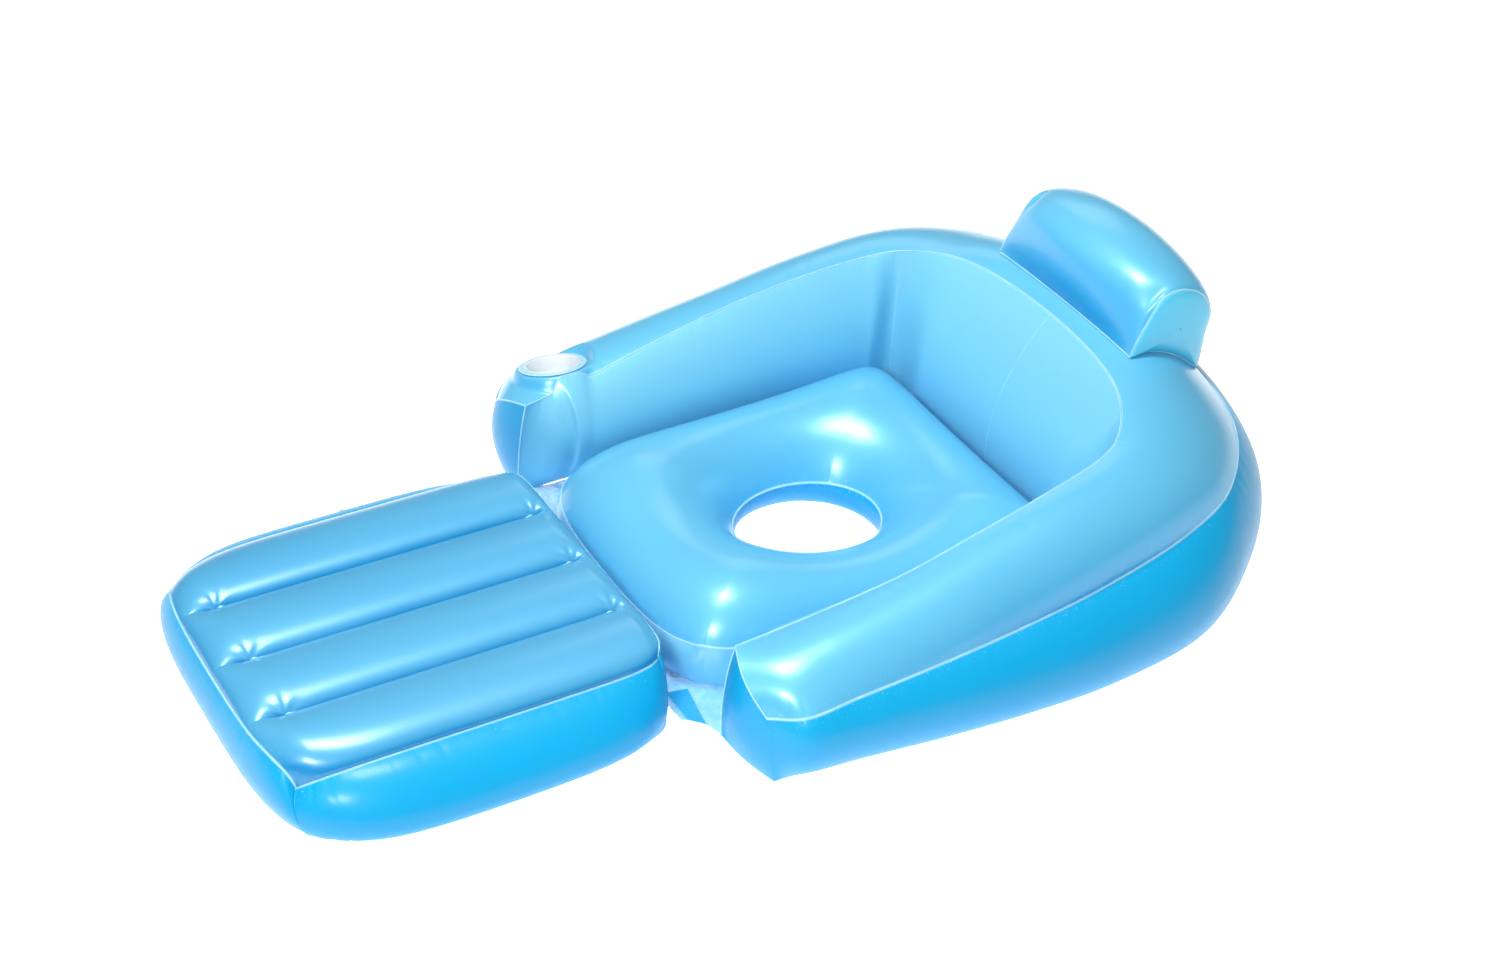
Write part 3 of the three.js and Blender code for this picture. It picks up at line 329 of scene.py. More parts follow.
class Nodes:
    def __init__(self, name):
        self.material = bpy.data.materials.new(name)
        self.material.use_nodes = True
        self.tree = self.material.node_tree
        self.shader = next(n for n in self.tree.nodes if n.type == "BSDF_PRINCIPLED")
        self.output = next(n for n in self.tree.nodes if n.type == "OUTPUT_MATERIAL")
        coordinates = self.add("ShaderNodeTexCoord")
        self.space, self.normal = coordinates.outputs["Object"], coordinates.outputs["Normal"]

    def add(self, kind, **values):
        node = self.tree.nodes.new(kind)
        for key, value in values.items():
            if key in node.bl_rna.properties:
                setattr(node, key, value)
            else:
                node.inputs[key.replace("_", " ")].default_value = value
        return node

    def link(self, out, socket):
        self.tree.links.new(out, socket)

    def noise(self, scale, detail=3.0, roughness=0.5, distortion=0.0):
        node = self.add("ShaderNodeTexNoise")
        node.inputs["Scale"].default_value = scale
        node.inputs["Detail"].default_value = detail
        node.inputs["Roughness"].default_value = roughness
        node.inputs["Distortion"].default_value = distortion
        self.link(self.space, node.inputs["Vector"])
        return node.outputs["Fac"]

    def ramp(self, source, stops):
        node = self.add("ShaderNodeValToRGB")
        while len(node.color_ramp.elements) < len(stops):
            node.color_ramp.elements.new(0.5)
        for element, (place, colour) in zip(node.color_ramp.elements, stops):
            element.position = place
            element.color = colour
        self.link(source, node.inputs["Fac"])
        return node.outputs["Color"]

    def mix(self, factor, a, b):
        node = self.add("ShaderNodeMix")
        node.data_type = "RGBA"
        for socket, value in ((node.inputs[0], factor), (node.inputs[6], a), (node.inputs[7], b)):
            if hasattr(value, "is_linked"):
                self.link(value, socket)
            else:
                socket.default_value = value
        return node.outputs[2]

    def math(self, kind, a, b=0.0):
        node = self.add("ShaderNodeMath")
        node.operation = kind
        for socket, value in zip(node.inputs, (a, b)):
            if hasattr(value, "is_linked"):
                self.link(value, socket)
            else:
                socket.default_value = value
        return node.outputs[0]

    def span(self, source, low, high, to_low=0.0, to_high=1.0):
        node = self.add("ShaderNodeMapRange")
        node.interpolation_type = "SMOOTHSTEP"
        for key, value in zip(("From Min", "From Max", "To Min", "To Max"), (low, high, to_low, to_high)):
            node.inputs[key].default_value = value
        self.link(source, node.inputs["Value"])
        return node.outputs["Result"]

    def bump(self, height, strength, distance=0.001, normal=None):
        node = self.add("ShaderNodeBump")
        node.inputs["Strength"].default_value = strength
        node.inputs["Distance"].default_value = distance
        self.link(height, node.inputs["Height"])
        if normal is not None:
            self.link(normal, node.inputs["Normal"])
        return node.outputs["Normal"]


def film(name, pale, deep, roughness=0.42, metallic=0.1, coat=1.0, painted_shade_span=(-0.25, 0.95)):
    """Pearly vinyl film: painted top light makes it paler where it faces up, painted shade makes it deeper
    down the sides, a painted highlight runs along the welds, and it is wrinkled along the welds.
    """
    n = Nodes(name)
    attribute = n.add("ShaderNodeAttribute", attribute_name="seam_distance")
    distance = attribute.outputs["Fac"]
    near = n.span(distance, 0.0, 0.03, 1.0, 0.0)
    # Mask of the painted highlight, within about 3 mm of each seam.
    weld = n.span(distance, 0.0012, 0.0032, 1.0, 0.0)
    split = n.add("ShaderNodeSeparateXYZ")
    n.link(n.normal, split.inputs["Vector"])
    cloud = n.math("MULTIPLY", n.math("SUBTRACT", n.noise(2.6, 2.0, 0.5), 0.5), 0.5)
    # Painted light and shade: the colour follows the way the surface faces, with the pale tone facing up and
    # the deep tone on the sides and underneath, and a random cloud mixed in.
    painted_light_facing = n.math("ADD", split.outputs["Z"], cloud)
    colour = n.mix(n.span(painted_light_facing, *painted_shade_span), deep, pale)
    # Painted highlight: a pale line along each seam.
    colour = n.mix(n.math("MULTIPLY", weld, 0.6), colour, SEAM)
    dust = n.span(n.noise(380, 2.0, 0.6), 0.66, 0.74)
    colour = n.mix(n.math("MULTIPLY", n.math("MULTIPLY", dust, near), 0.45), colour, srgb(226, 246, 255))
    n.link(colour, n.shader.inputs["Base Color"])
    grain = n.noise(95, 3.0, 0.55)
    n.link(n.span(grain, 0.25, 0.75, roughness - 0.04, roughness + 0.06), n.shader.inputs["Roughness"])
    fine = n.bump(n.noise(900, 2.0, 0.5), 0.04, 0.0003)
    soft = n.bump(n.noise(22, 3.0, 0.5, 0.4), 0.14, 0.0016, fine)
    crease = n.math("MULTIPLY", n.noise(110, 3.0, 0.6, 1.2), near)
    normal = n.bump(crease, 0.3, 0.0014, soft)
    n.link(normal, n.shader.inputs["Normal"])
    n.shader.inputs["Metallic"].default_value = metallic
    n.shader.inputs["Coat Weight"].default_value = coat
    n.shader.inputs["Coat Roughness"].default_value = 0.24
    n.shader.inputs["Coat IOR"].default_value = 1.5
    n.shader.inputs["IOR"].default_value = 1.33
    return n.material


def clear_film(name, tint, alpha):
    """Thin unbacked film that light passes through."""
    n = Nodes(name)
    cloud = n.noise(9, 3.0, 0.6)
    n.link(n.ramp(cloud, [(0.3, tint), (0.75, srgb(150, 216, 248))]), n.shader.inputs["Base Color"])
    streak = n.noise(48, 4.0, 0.6, 1.6)
    n.link(n.span(streak, 0.3, 0.8, alpha - 0.08, alpha + 0.12), n.shader.inputs["Alpha"])
    n.link(n.span(streak, 0.2, 0.8, 0.19, 0.33), n.shader.inputs["Roughness"])
    n.link(n.bump(streak, 0.4, 0.002), n.shader.inputs["Normal"])
    n.shader.inputs["IOR"].default_value = 1.5
    return n.material


def moulded(name, pale, deep, roughness, transmission=0.0):
    """Soft moulded vinyl with a fine grain."""
    n = Nodes(name)
    n.link(n.ramp(n.noise(30, 3.0, 0.55), [(0.3, deep), (0.7, pale)]), n.shader.inputs["Base Color"])
    grain = n.noise(600, 3.0, 0.6)
    n.link(n.span(grain, 0.2, 0.8, roughness - 0.06, roughness + 0.08), n.shader.inputs["Roughness"])
    n.link(n.bump(grain, 0.12, 0.0004), n.shader.inputs["Normal"])
    n.shader.inputs["Transmission Weight"].default_value = transmission
    n.shader.inputs["Coat Weight"].default_value = 0.2
    n.shader.inputs["IOR"].default_value = 1.5
    return n.material


# SEAM is the pale colour of the painted highlight along the welds.
SEAM = srgb(190, 234, 253)
# Lit copy of the film for the top panels: its pale and deep tones are painted top light and side shade.
TOPLIT_FILM = film("panel_film_material", srgb(102, 196, 236), srgb(0, 152, 214))
# Shaded copy of the film for the footrest's top: darker overall, and its narrower span paints shade into the
# tube valleys.
REST = film("footrest_film_material", srgb(86, 176, 220), srgb(0, 136, 196), painted_shade_span=(0.45, 1.03))
# Shaded copy of the film for the side walls, the undersides and the hole's band: its darker colours are
# painted shade.
SHADED_WALL_FILM = film(
    "wall_film_material", srgb(0, 168, 222), srgb(0, 150, 208), roughness=0.5, metallic=0.0, coat=0.35,
)
# Lit copy of the film for the inner walls, the seat's side band, the baffles and the bolster's base: its
# paler colours paint the light that fills the seat.
FILL_LIT_FILM = film("inner_film_material", srgb(132, 214, 243), srgb(122, 209, 241))
# Lit copy of the film for the bolster's ends: its paler colours paint the light on the ends, which face the
# front.
LIT_ENDS_FILM = film("end_film_material", srgb(100, 212, 242), srgb(52, 192, 232))
TAB_FILM = film("tab_film_material", srgb(40, 170, 224), srgb(10, 150, 210), roughness=0.3)
WEB = clear_film("web_film_material", srgb(84, 182, 232), 0.86)
# The beads' pale colour paints a highlight along the weld ridges.
BEAD_HIGHLIGHT = moulded("weld_bead_highlight_material", srgb(178, 230, 252), srgb(140, 214, 248), 0.28)
WHITE = moulded("cup_film_material", srgb(246, 250, 252), srgb(228, 240, 247), 0.3)
RING = moulded("cup_flange_material", srgb(196, 234, 250), srgb(166, 222, 248), 0.25)
VALVE = moulded("valve_material", srgb(214, 236, 244), srgb(186, 220, 234), 0.28, 0.35)

# ---------------------------------------------------------------- arm and back chamber

COLUMNS = 576
SHARES = np.linspace(0, 1, COLUMNS + 1)
STATION = 2 * HALF * np.minimum(SHARES, 1 - SHARES)


def seam_line(name, shares=SHARES):
    half = STATIONS[name]
    return curve(half + [(-x, y, z) for x, y, z in half[:-1][::-1]], shares)


def crown_line(shares, across):
    inner, outer = seam_line("inner_top", shares), seam_line("outer_top", shares)
    station = 2 * HALF * np.minimum(shares, 1 - shares)
    ahead = seam_line("inner_top", np.clip(shares + 1e-4, 0, 1))
    behind = seam_line("inner_top", np.clip(shares - 1e-4, 0, 1))
    up = unit(np.cross(ahead - behind, outer - inner))
    up *= np.where(up[:, 2:] < 0, -1, 1)
    rise = at_station(CROWNS, station)
    place = arcs(inner, outer, up, rise, [across])[0]
    lean = BACK_CROWN_LEAN * smooth((station - 7.6) / 0.8)
    place += up * (rise * lean * 4 * across * (1 - across) * (1 - 2 * across))[:, None]
    place[:, 1] -= (1 - smooth(station / 1.8)) * FRONT_EDGE_FORWARD * math.sin(math.pi * across)
    return place


def cup_frame():
    shares = np.linspace(0.5, 1, 4001)
    outer = seam_line("outer_top", shares)
    first = np.argmax((outer[:, 1] < CUP[1]) & (shares > 0.7))
    mouth = crown_line(shares[first:first + 1], 0.5)[0]
    axis = np.array([-math.sin(CUP_TILT), 0, math.cos(CUP_TILT)])
    return np.array([CUP[0], CUP[1], mouth[2]]), axis


CUP_MOUTH, CUP_AXIS = cup_frame()


def cup_radius(points):
    away = points - CUP_MOUTH
    off = away @ CUP_AXIS
    return np.linalg.norm(away - off[..., None] * CUP_AXIS, axis=-1), off


def top_grid(shares, rows):
    grid = np.array([crown_line(shares, a) for a in rows])
    radius, off = cup_radius(grid)
    drawn = smooth((CUP_DRAWN - radius) / (CUP_DRAWN - CUP_FLAT))
    return grid - (off * drawn)[..., None] * CUP_AXIS


def inner_rise(station):
    opened = smooth(station / 1.6) * smooth(np.abs(station - CORNER) / 1.1)
    least = np.where(station < 1.6, INNER_END_BULGE, INNER_CORNER_BULGE)
    return least + (INNER_BULGE - least) * opened


def even_rows(count):
    """Shares from 0 to 1, gathered a little towards both seams."""
    s = np.linspace(0, 1, count + 1)
    return s - ROW_GATHER * np.sin(2 * np.pi * s)


def build_body():
    top_rows = even_rows(40)
    top = top_grid(SHARES, top_rows)
    bottom_rows = np.linspace(0, 1, 12)
    inner_bottom, outer_bottom = seam_line("inner_bottom"), seam_line("outer_bottom")

    def bottom_at(across):
        place = inner_bottom + (outer_bottom - inner_bottom) * across
        place[:, 1] -= (1 - smooth(STATION)) * 5 * math.sin(math.pi * across)
        return place

    foot_at = [bottom_at(a) for a in top_rows]
    top_line = np.vstack([top[:, 0], top[-1, 1:-1], top[::-1, -1]])
    foot_line = np.vstack([
        np.array([f[0] for f in foot_at]), foot_at[-1][1:-1], np.array([f[-1] for f in foot_at[::-1]]),
    ])
    face = len(top_rows) - 1
    count = len(top_line) - 1
    from_front = np.minimum(np.arange(count + 1), count - np.arange(count + 1)).astype(float)
    share = np.where(from_front <= face, top_rows[np.minimum(from_front.astype(int), face)], 1)
    front_rise = (INNER_END_BULGE * (1 - share) + WALL_BULGES[0] * smooth(share)
                  + FRONT_FACE_BULGE * np.sin(np.pi * share) * (1 - share))
    side_station = np.clip((from_front - face) / (COLUMNS / (2 * HALF)), 0, HALF)
    rise = np.where(from_front <= face, front_rise, at_station(WALL_BULGES, side_station))
    middle = (top_line + foot_line) / 2
    wall_rows = even_rows(44)
    wall_out = level_out(middle, 1, 7)
    wall = arcs(top_line, foot_line, wall_out, rise, wall_rows)
    wall = pucker(wall, wall_out, 21, 26, 0.8, (12, 34), gather=1 + 1.6 * np.exp(-(from_front / 14) ** 2))

    inner_line = top[0]
    swell = inner_rise(STATION)
    inner_out = level_out(inner_line, -1, 4)
    own = arcs(inner_line, inner_bottom, inner_out, swell, wall_rows)
    straight = np.array([inner_line + (inner_bottom - inner_line) * s for s in wall_rows])
    walked = lengths(inner_line)
    for end, column in ((0, 0), (1, count)):
        away = walked if end == 0 else walked[-1] - walked
        share = smooth(away / 32)[None, :, None]
        edge = wall[:, column] - straight[:, 0 if end == 0 else -1]
        own = straight + (own - straight) * share + edge[:, None] * (1 - share)
    corner = int(COLUMNS * CORNER / (2 * HALF))
    middle_column = COLUMNS // 2
    tight = 0.5 + 0.9 * np.exp(-((STATION - CORNER) / 0.6) ** 2) + 0.6 * np.exp(-(STATION / 0.8) ** 2)
    clear = 1 - np.exp(-((np.arange(COLUMNS + 1) - middle_column) / 3.0) ** 2)
    for edge_column in (0, COLUMNS, corner, COLUMNS - corner):
        clear *= 1 - np.exp(-((np.arange(COLUMNS + 1) - edge_column) / 3.0) ** 2)
    own = pucker(own, inner_out, 22, 22, 0.9, (14, 40), gather=tight * clear)
    own[:, 0], own[:, -1] = wall[:, 0], wall[:, -1]

    radius, _ = cup_radius(top)
    ends = 1 + 1.2 * np.exp(-(STATION / 0.7) ** 2)
    top = pucker(top, ABOVE, 23, 26, 0.8, (14, 40), gather=ends * smooth((radius - 62) / 20))
    keep = (radius > CUP_HOLE).ravel()
    bottom = np.array([bottom_at(a) for a in bottom_rows])
    pieces = [
        surface("top_film", top, ABOVE, TOPLIT_FILM, keep=keep),
        surface("outer_wall_film", wall, wall_out, SHADED_WALL_FILM, valve="body"),
        surface("bottom_film", bottom, -ABOVE, SHADED_WALL_FILM),
    ]
    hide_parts("body_top_panel")
    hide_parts("body_outer_wall")
    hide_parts("body_bottom_panel")
    spans = {
        "left_arm_inner_wall": (0, corner), "left_back_panel": (corner, middle_column),
        "right_back_panel": (middle_column, COLUMNS - corner),
        "right_arm_inner_wall": (COLUMNS - corner, COLUMNS),
    }
    for name, (a, b) in spans.items():
        piece = surface(name.replace("wall", "film").replace("panel", "film"), own[:, a:b + 1],
                        inner_out[a:b + 1], FILL_LIT_FILM)
        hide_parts(name)
        pieces.append(piece)
    beads = [
        bead("inner_top_bead", inner_line, BEAD_HIGHLIGHT, 1.1),
        bead("outer_top_bead", top_line, BEAD_HIGHLIGHT, 1.2),
        bead("outer_foot_bead", foot_line, BEAD_HIGHLIGHT, 1.1, lift=(0, 0, 1.3)),
        bead("left_front_bead", wall[:, 0], BEAD_HIGHLIGHT, 1.3),
        bead("right_front_bead", wall[:, -1], BEAD_HIGHLIGHT, 1.3),
        bead("left_corner_bead", own[:, corner], BEAD_HIGHLIGHT, 0.6),
        bead("right_corner_bead", own[:, COLUMNS - corner], BEAD_HIGHLIGHT, 0.6),
        bead("middle_back_bead", own[:, middle_column], BEAD_HIGHLIGHT, 0.6),
    ]
    for piece in pieces + beads:
        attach(piece, "lounge")


build_body()

# ---------------------------------------------------------------- seat chamber


def rounded(u, v, half_width, half_length, cut):
    pull = cut * np.abs(u) ** (half_width / (2 * cut)) * np.abs(v) ** (half_length / (2 * cut))
    x, y = half_width * u - pull * np.sign(u), half_length * v - pull * np.sign(v)
    return np.stack([x, y, np.zeros_like(u)], -1)


def square_walk(per_side):
    s = np.sin(np.pi / 2 * (2 * np.arange(per_side) / per_side - 1))
    one = np.ones_like(s)
    return np.concatenate([np.stack(p, 1) for p in ((one, s), (-s, one), (-one, -s), (s, -one))])


def seat_outline(walk, z, inset=0):
    u, v = walk[:, 0], walk[:, 1]
    cut = np.where(v < 0, SEAT_FRONT_CORNER_CUT, SEAT_CORNER_CUT)
    edge = rounded(u, v, SEAT_HALF_WIDTH - inset, (SEAT_BACK_Y - SEAT_FRONT_Y) / 2 - inset, cut)
    edge[:, 0] *= 1 - SEAT_TAPER * np.clip((1 - v) / 2, 0, 1)
    edge[:, 1] += (SEAT_BACK_Y + SEAT_FRONT_Y) / 2
    edge[:, 2] = z
    return edge


def build_seat():
    walk = square_walk(128)
    u, v = walk[:, 0], walk[:, 1]
    dip = SEAT_FRONT_DIP * np.clip(-v, 0, 1) ** 6 * (1 - u * u)
    seam, foot = seat_outline(walk, SEAT_SEAM_Z - dip), seat_outline(walk, 0, 4)
    turn = np.arctan2(seam[:, 1] - HOLE_Y, seam[:, 0])

    def ring(x, y, z):
        return np.stack([x * np.cos(turn), HOLE_Y + y * np.sin(turn), np.full_like(turn, z)], 1)

    hole_top, hole_foot = ring(*HOLE_TOP), ring(*HOLE_BOTTOM, 0.0)
    up = np.tile([0.0, 0, 1], (len(walk), 1))
    span = np.linalg.norm(seam - hole_top, axis=1)
    top = arcs(hole_top, seam, up, SEAT_CROWN + SEAT_CROWN_GROWTH * span, even_rows(56))
    front = smooth((-v - 0.6) / 0.4) * (1 - np.abs(u) ** 6)
    out = unit(np.stack([u**5, v**5, np.zeros_like(u)], 1))
    bulge = SEAT_SIDE_BULGE + (SEAT_FRONT_BULGE - SEAT_SIDE_BULGE) * front
    band = arcs(seam, foot, out, bulge, even_rows(18))
    inwards = unit(np.stack([-hole_top[:, 0], HOLE_Y - hole_top[:, 1], np.zeros_like(u)], 1))
    hole = arcs(hole_top, hole_foot, inwards, np.full(len(u), HOLE_BULGE), even_rows(16))
    top = pucker(top, ABOVE, 31, 18, 0.7, (10, 28), closed=True)
    band = pucker(band, out, 32, 18, 0.6, (8, 16), closed=True)
    hole = pucker(hole, inwards, 33, 9, 1.2, (6, 13), closed=True)
    under = np.array([foot + (hole_foot - foot) * s for s in np.linspace(0, 1, 9)])
    pieces = (
        ("seat_top_film", top, ABOVE, TOPLIT_FILM, "panel_film", "seat_top_panel"),
        ("seat_side_film", band, out, FILL_LIT_FILM, "panel_film", "seat_side_band"),
        ("seat_hole_film", hole, inwards, SHADED_WALL_FILM, "wall_film", "seat_hole_band"),
        ("seat_bottom_film", under, -ABOVE, SHADED_WALL_FILM, "panel_film", "seat_bottom_panel"),
    )
    for name, grid, way, material, slot, node in pieces:
        valve = "seat" if slot == "wall_film" else None
        piece = surface(name, grid, way, material, closed=True, valve=valve)
        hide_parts(node)
        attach(piece, "lounge")
    for name, line, radius in (("seat_seam_bead", seam, 0.9), ("seat_hole_bead", hole_top, 1.5),
                               ("seat_foot_bead", foot + [0, 0, 1.4], 1.2),
                               ("seat_hole_foot_bead", hole_foot + [0, 0, 1.5], 1.3)):
        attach(bead(name, line, BEAD_HIGHLIGHT, radius, closed=True), "lounge")


build_seat()

# ---------------------------------------------------------------- footrest chamber


def rest_top(u, v):
    """The footrest's top panel at u across and v along, both from -1 to 1."""
    cut = np.where(v < 0, REST_FRONT_CORNER_CUT, REST_CORNER_CUT)
    place = rounded(u, v, REST_HALF_WIDTH, REST_HALF_LENGTH, cut)
    place[..., 1] += REST_MIDDLE_Y
    drop = REST_CORNER_DROP * np.abs(u) ** 5 * np.clip(-v, 0, 1) ** 5
    y = place[..., 1]
    front = np.clip((WELD_FRONT_Y - y) / (WELD_FRONT_Y - REST_FRONT_Y), 0, 1)
    back = np.clip((y - WELD_BACK_Y) / (REST_BACK_Y - WELD_BACK_Y), 0, 1)
    past = np.maximum(front, back)
    tube_at = np.mod(u * TUBES / 2 + TUBES, 1) * 2 - 1
    tube = TUBE_RISE * np.sqrt(np.maximum(0, 1 - tube_at**2 * 0.96)) * 0.98
    pillow = TUBE_RISE * np.sqrt(np.maximum(0, 1 - np.abs(u) ** 5))
    merged = tube + (pillow - tube) * smooth(past) * 0.8
    closing = np.sqrt(np.maximum(0, 1 - past**2))
    level = (WELD_Z - REST_SEAM_Z) * (1 - np.maximum(np.abs(u) ** 4, past))
    place[..., 2] = REST_SEAM_Z - drop + np.where(np.abs(u) > 0.9995, 0, merged * closing + level)
    return place


def weld_stars(grid):
    """Creases that radiate from the ends of the weld lines."""
    for number in range(1, TUBES):
        x = (number - TUBES / 2) * TUBE_PITCH
        for y, reach in ((WELD_FRONT_Y, 24), (WELD_BACK_Y, 20)):
            dx, dy = grid[..., 0] - x, grid[..., 1] - y
            away = np.hypot(dx, dy)
            rays = 0.5 + 0.5 * np.cos(7 * np.arctan2(dy, dx) + number * 1.7)
            grid[..., 2] -= 1.7 * rays * np.minimum(away / 6, 1) * np.exp(-(away / reach) ** 2)
    return grid


def build_footrest():
    within_tube = (1 - np.cos(np.pi * np.arange(30) / 30)) / TUBES
    across = np.concatenate([start + within_tube for start in np.linspace(-1, 1, TUBES + 1)[:-1]] + [[1.0]])
    even = np.linspace(-1, 1, 181)
    along = 0.45 * np.sin(np.pi / 2 * even) + 0.55 * even
    uu, vv = np.meshgrid(across, along)
    top = rest_top(uu, vv)
    along_ones, across_ones = np.ones(len(along) - 1), np.ones(len(across) - 1)
    seam_u = np.concatenate([across[:-1], along_ones, across[1:][::-1], -along_ones])
    seam_v = np.concatenate([-across_ones, along[:-1], across_ones, along[1:][::-1]])
    seam = rest_top(seam_u, seam_v)
    foot_cut = np.where(seam_v < 0, REST_FOOT_FRONT_CORNER_CUT, REST_FOOT_CORNER_CUT)
    foot_size = (REST_HALF_WIDTH + REST_FOOT_SPREAD, REST_HALF_LENGTH * FOOT_SHARE)
    foot = rounded(seam_u, seam_v, *foot_size, foot_cut)
    foot[:, 0] += seam_u * REST_FOOT_BOW * (1 - seam_v**2)
    foot[:, 1] += REST_MIDDLE_Y
    u, v = seam[:, 0] / REST_HALF_WIDTH, (seam[:, 1] - REST_MIDDLE_Y) / REST_HALF_LENGTH
    out = unit(np.stack([u**7, v**7, np.zeros_like(u)], 1))
    to_end = np.abs(out[:, 1]) ** 1.5
    to_corner = np.minimum(1, 1.6 * (np.abs(u) * np.abs(v)) ** 5)
    side = REST_SIDE_BULGE + (REST_CORNER_BULGE - REST_SIDE_BULGE) * to_corner
    end = np.where(v < 0, REST_FRONT_BULGE, REST_BACK_BULGE)
    band = arcs(seam, foot, out, side + (end - side) * to_end, even_rows(28))
    corners = 1 + 1.8 * np.exp(-(np.abs(np.abs(u) * v * 1.05 + 0.9) / 0.12) ** 2)
    band = pucker(band, out, 41, 22, 0.7, (10, 30), closed=True, gather=corners)
    top = pucker(weld_stars(top), ABOVE, 42, 20, 0.7, (10, 26))
    centre = foot.mean(0)
    under = np.array([foot + (centre - foot) * s for s in np.linspace(0, 0.98, 14)])
    pieces = (
        (surface("footrest_top_film", top, ABOVE, REST), "footrest_top_panel"),
        (surface("footrest_side_film", band, out, SHADED_WALL_FILM, closed=True, valve="footrest"),
         "footrest_side_band"),
        (surface("footrest_bottom_film", under, -ABOVE, SHADED_WALL_FILM, closed=True),
         "footrest_bottom_panel"),
    )
    for piece, node in pieces:
        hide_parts(node)
        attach(piece, "footrest")
    for name, line, radius in (("footrest_seam_bead", seam, 1.1),
                               ("footrest_foot_bead", foot + [0, 0, 1.4], 1.2)):
        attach(bead(name, line, BEAD_HIGHLIGHT, radius, closed=True), "footrest")
    for number in range(1, TUBES):
        x = (number - TUBES / 2) * TUBE_PITCH
        xs = np.full(WELD_POINTS, x)
        ys = np.linspace(WELD_FRONT_Y, WELD_BACK_Y, WELD_POINTS)
        z = rest_top(xs / REST_HALF_WIDTH, (ys - REST_MIDDLE_Y) / REST_HALF_LENGTH)[:, 2]
        line = np.stack([xs, ys, z - 0.2], 1)
        ends = np.minimum(ys - WELD_FRONT_Y, WELD_BACK_Y - ys)
        swell = 1.3 + 2.4 * np.exp(-((ends - 5) / 4.5) ** 2) * (0.3 + 0.7 * smooth(ends / 4))
        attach(bead(f"footrest_weld_{number}", line, BEAD_HIGHLIGHT, swell), "footrest")
        down = np.linspace(0, 1, 26)
        sway = 2.5 * np.sin(np.linspace(0, 9 * math.pi, WELD_POINTS))
        strip = np.array([
            np.stack([x + sway * math.sin(math.pi * d) * 0.6, ys, 1.5 + (z - 2.5) * (1 - d)], 1) for d in down
        ])
        sideways = np.array([1.0, 0, 0])
        baffle = surface(f"footrest_baffle_film_{number}", strip, sideways, FILL_LIT_FILM)
        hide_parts(f"footrest_baffle_{number}")
        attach(baffle, "footrest")


build_footrest()

# ---------------------------------------------------------------- head bolster


def on_top_panel(x, y):
    """The point of the body's top panel above or below (x, y), by Newton steps."""
    share, across = 0.5, 0.5

    def at(s, a):
        return crown_line(np.array([s]), a)[0]

    step = 1e-4
    for _ in range(12):
        here = at(share, across)
        d_share = (at(share + step, across) - here) / step
        d_across = (at(share, across + step) - here) / step
        dx, dy = x - here[0], y - here[1]
        det = d_share[0] * d_across[1] - d_share[1] * d_across[0]
        share += (dx * d_across[1] - dy * d_across[0]) / det
        across += (dy * d_share[0] - dx * d_share[1]) / det
    return at(share, across)


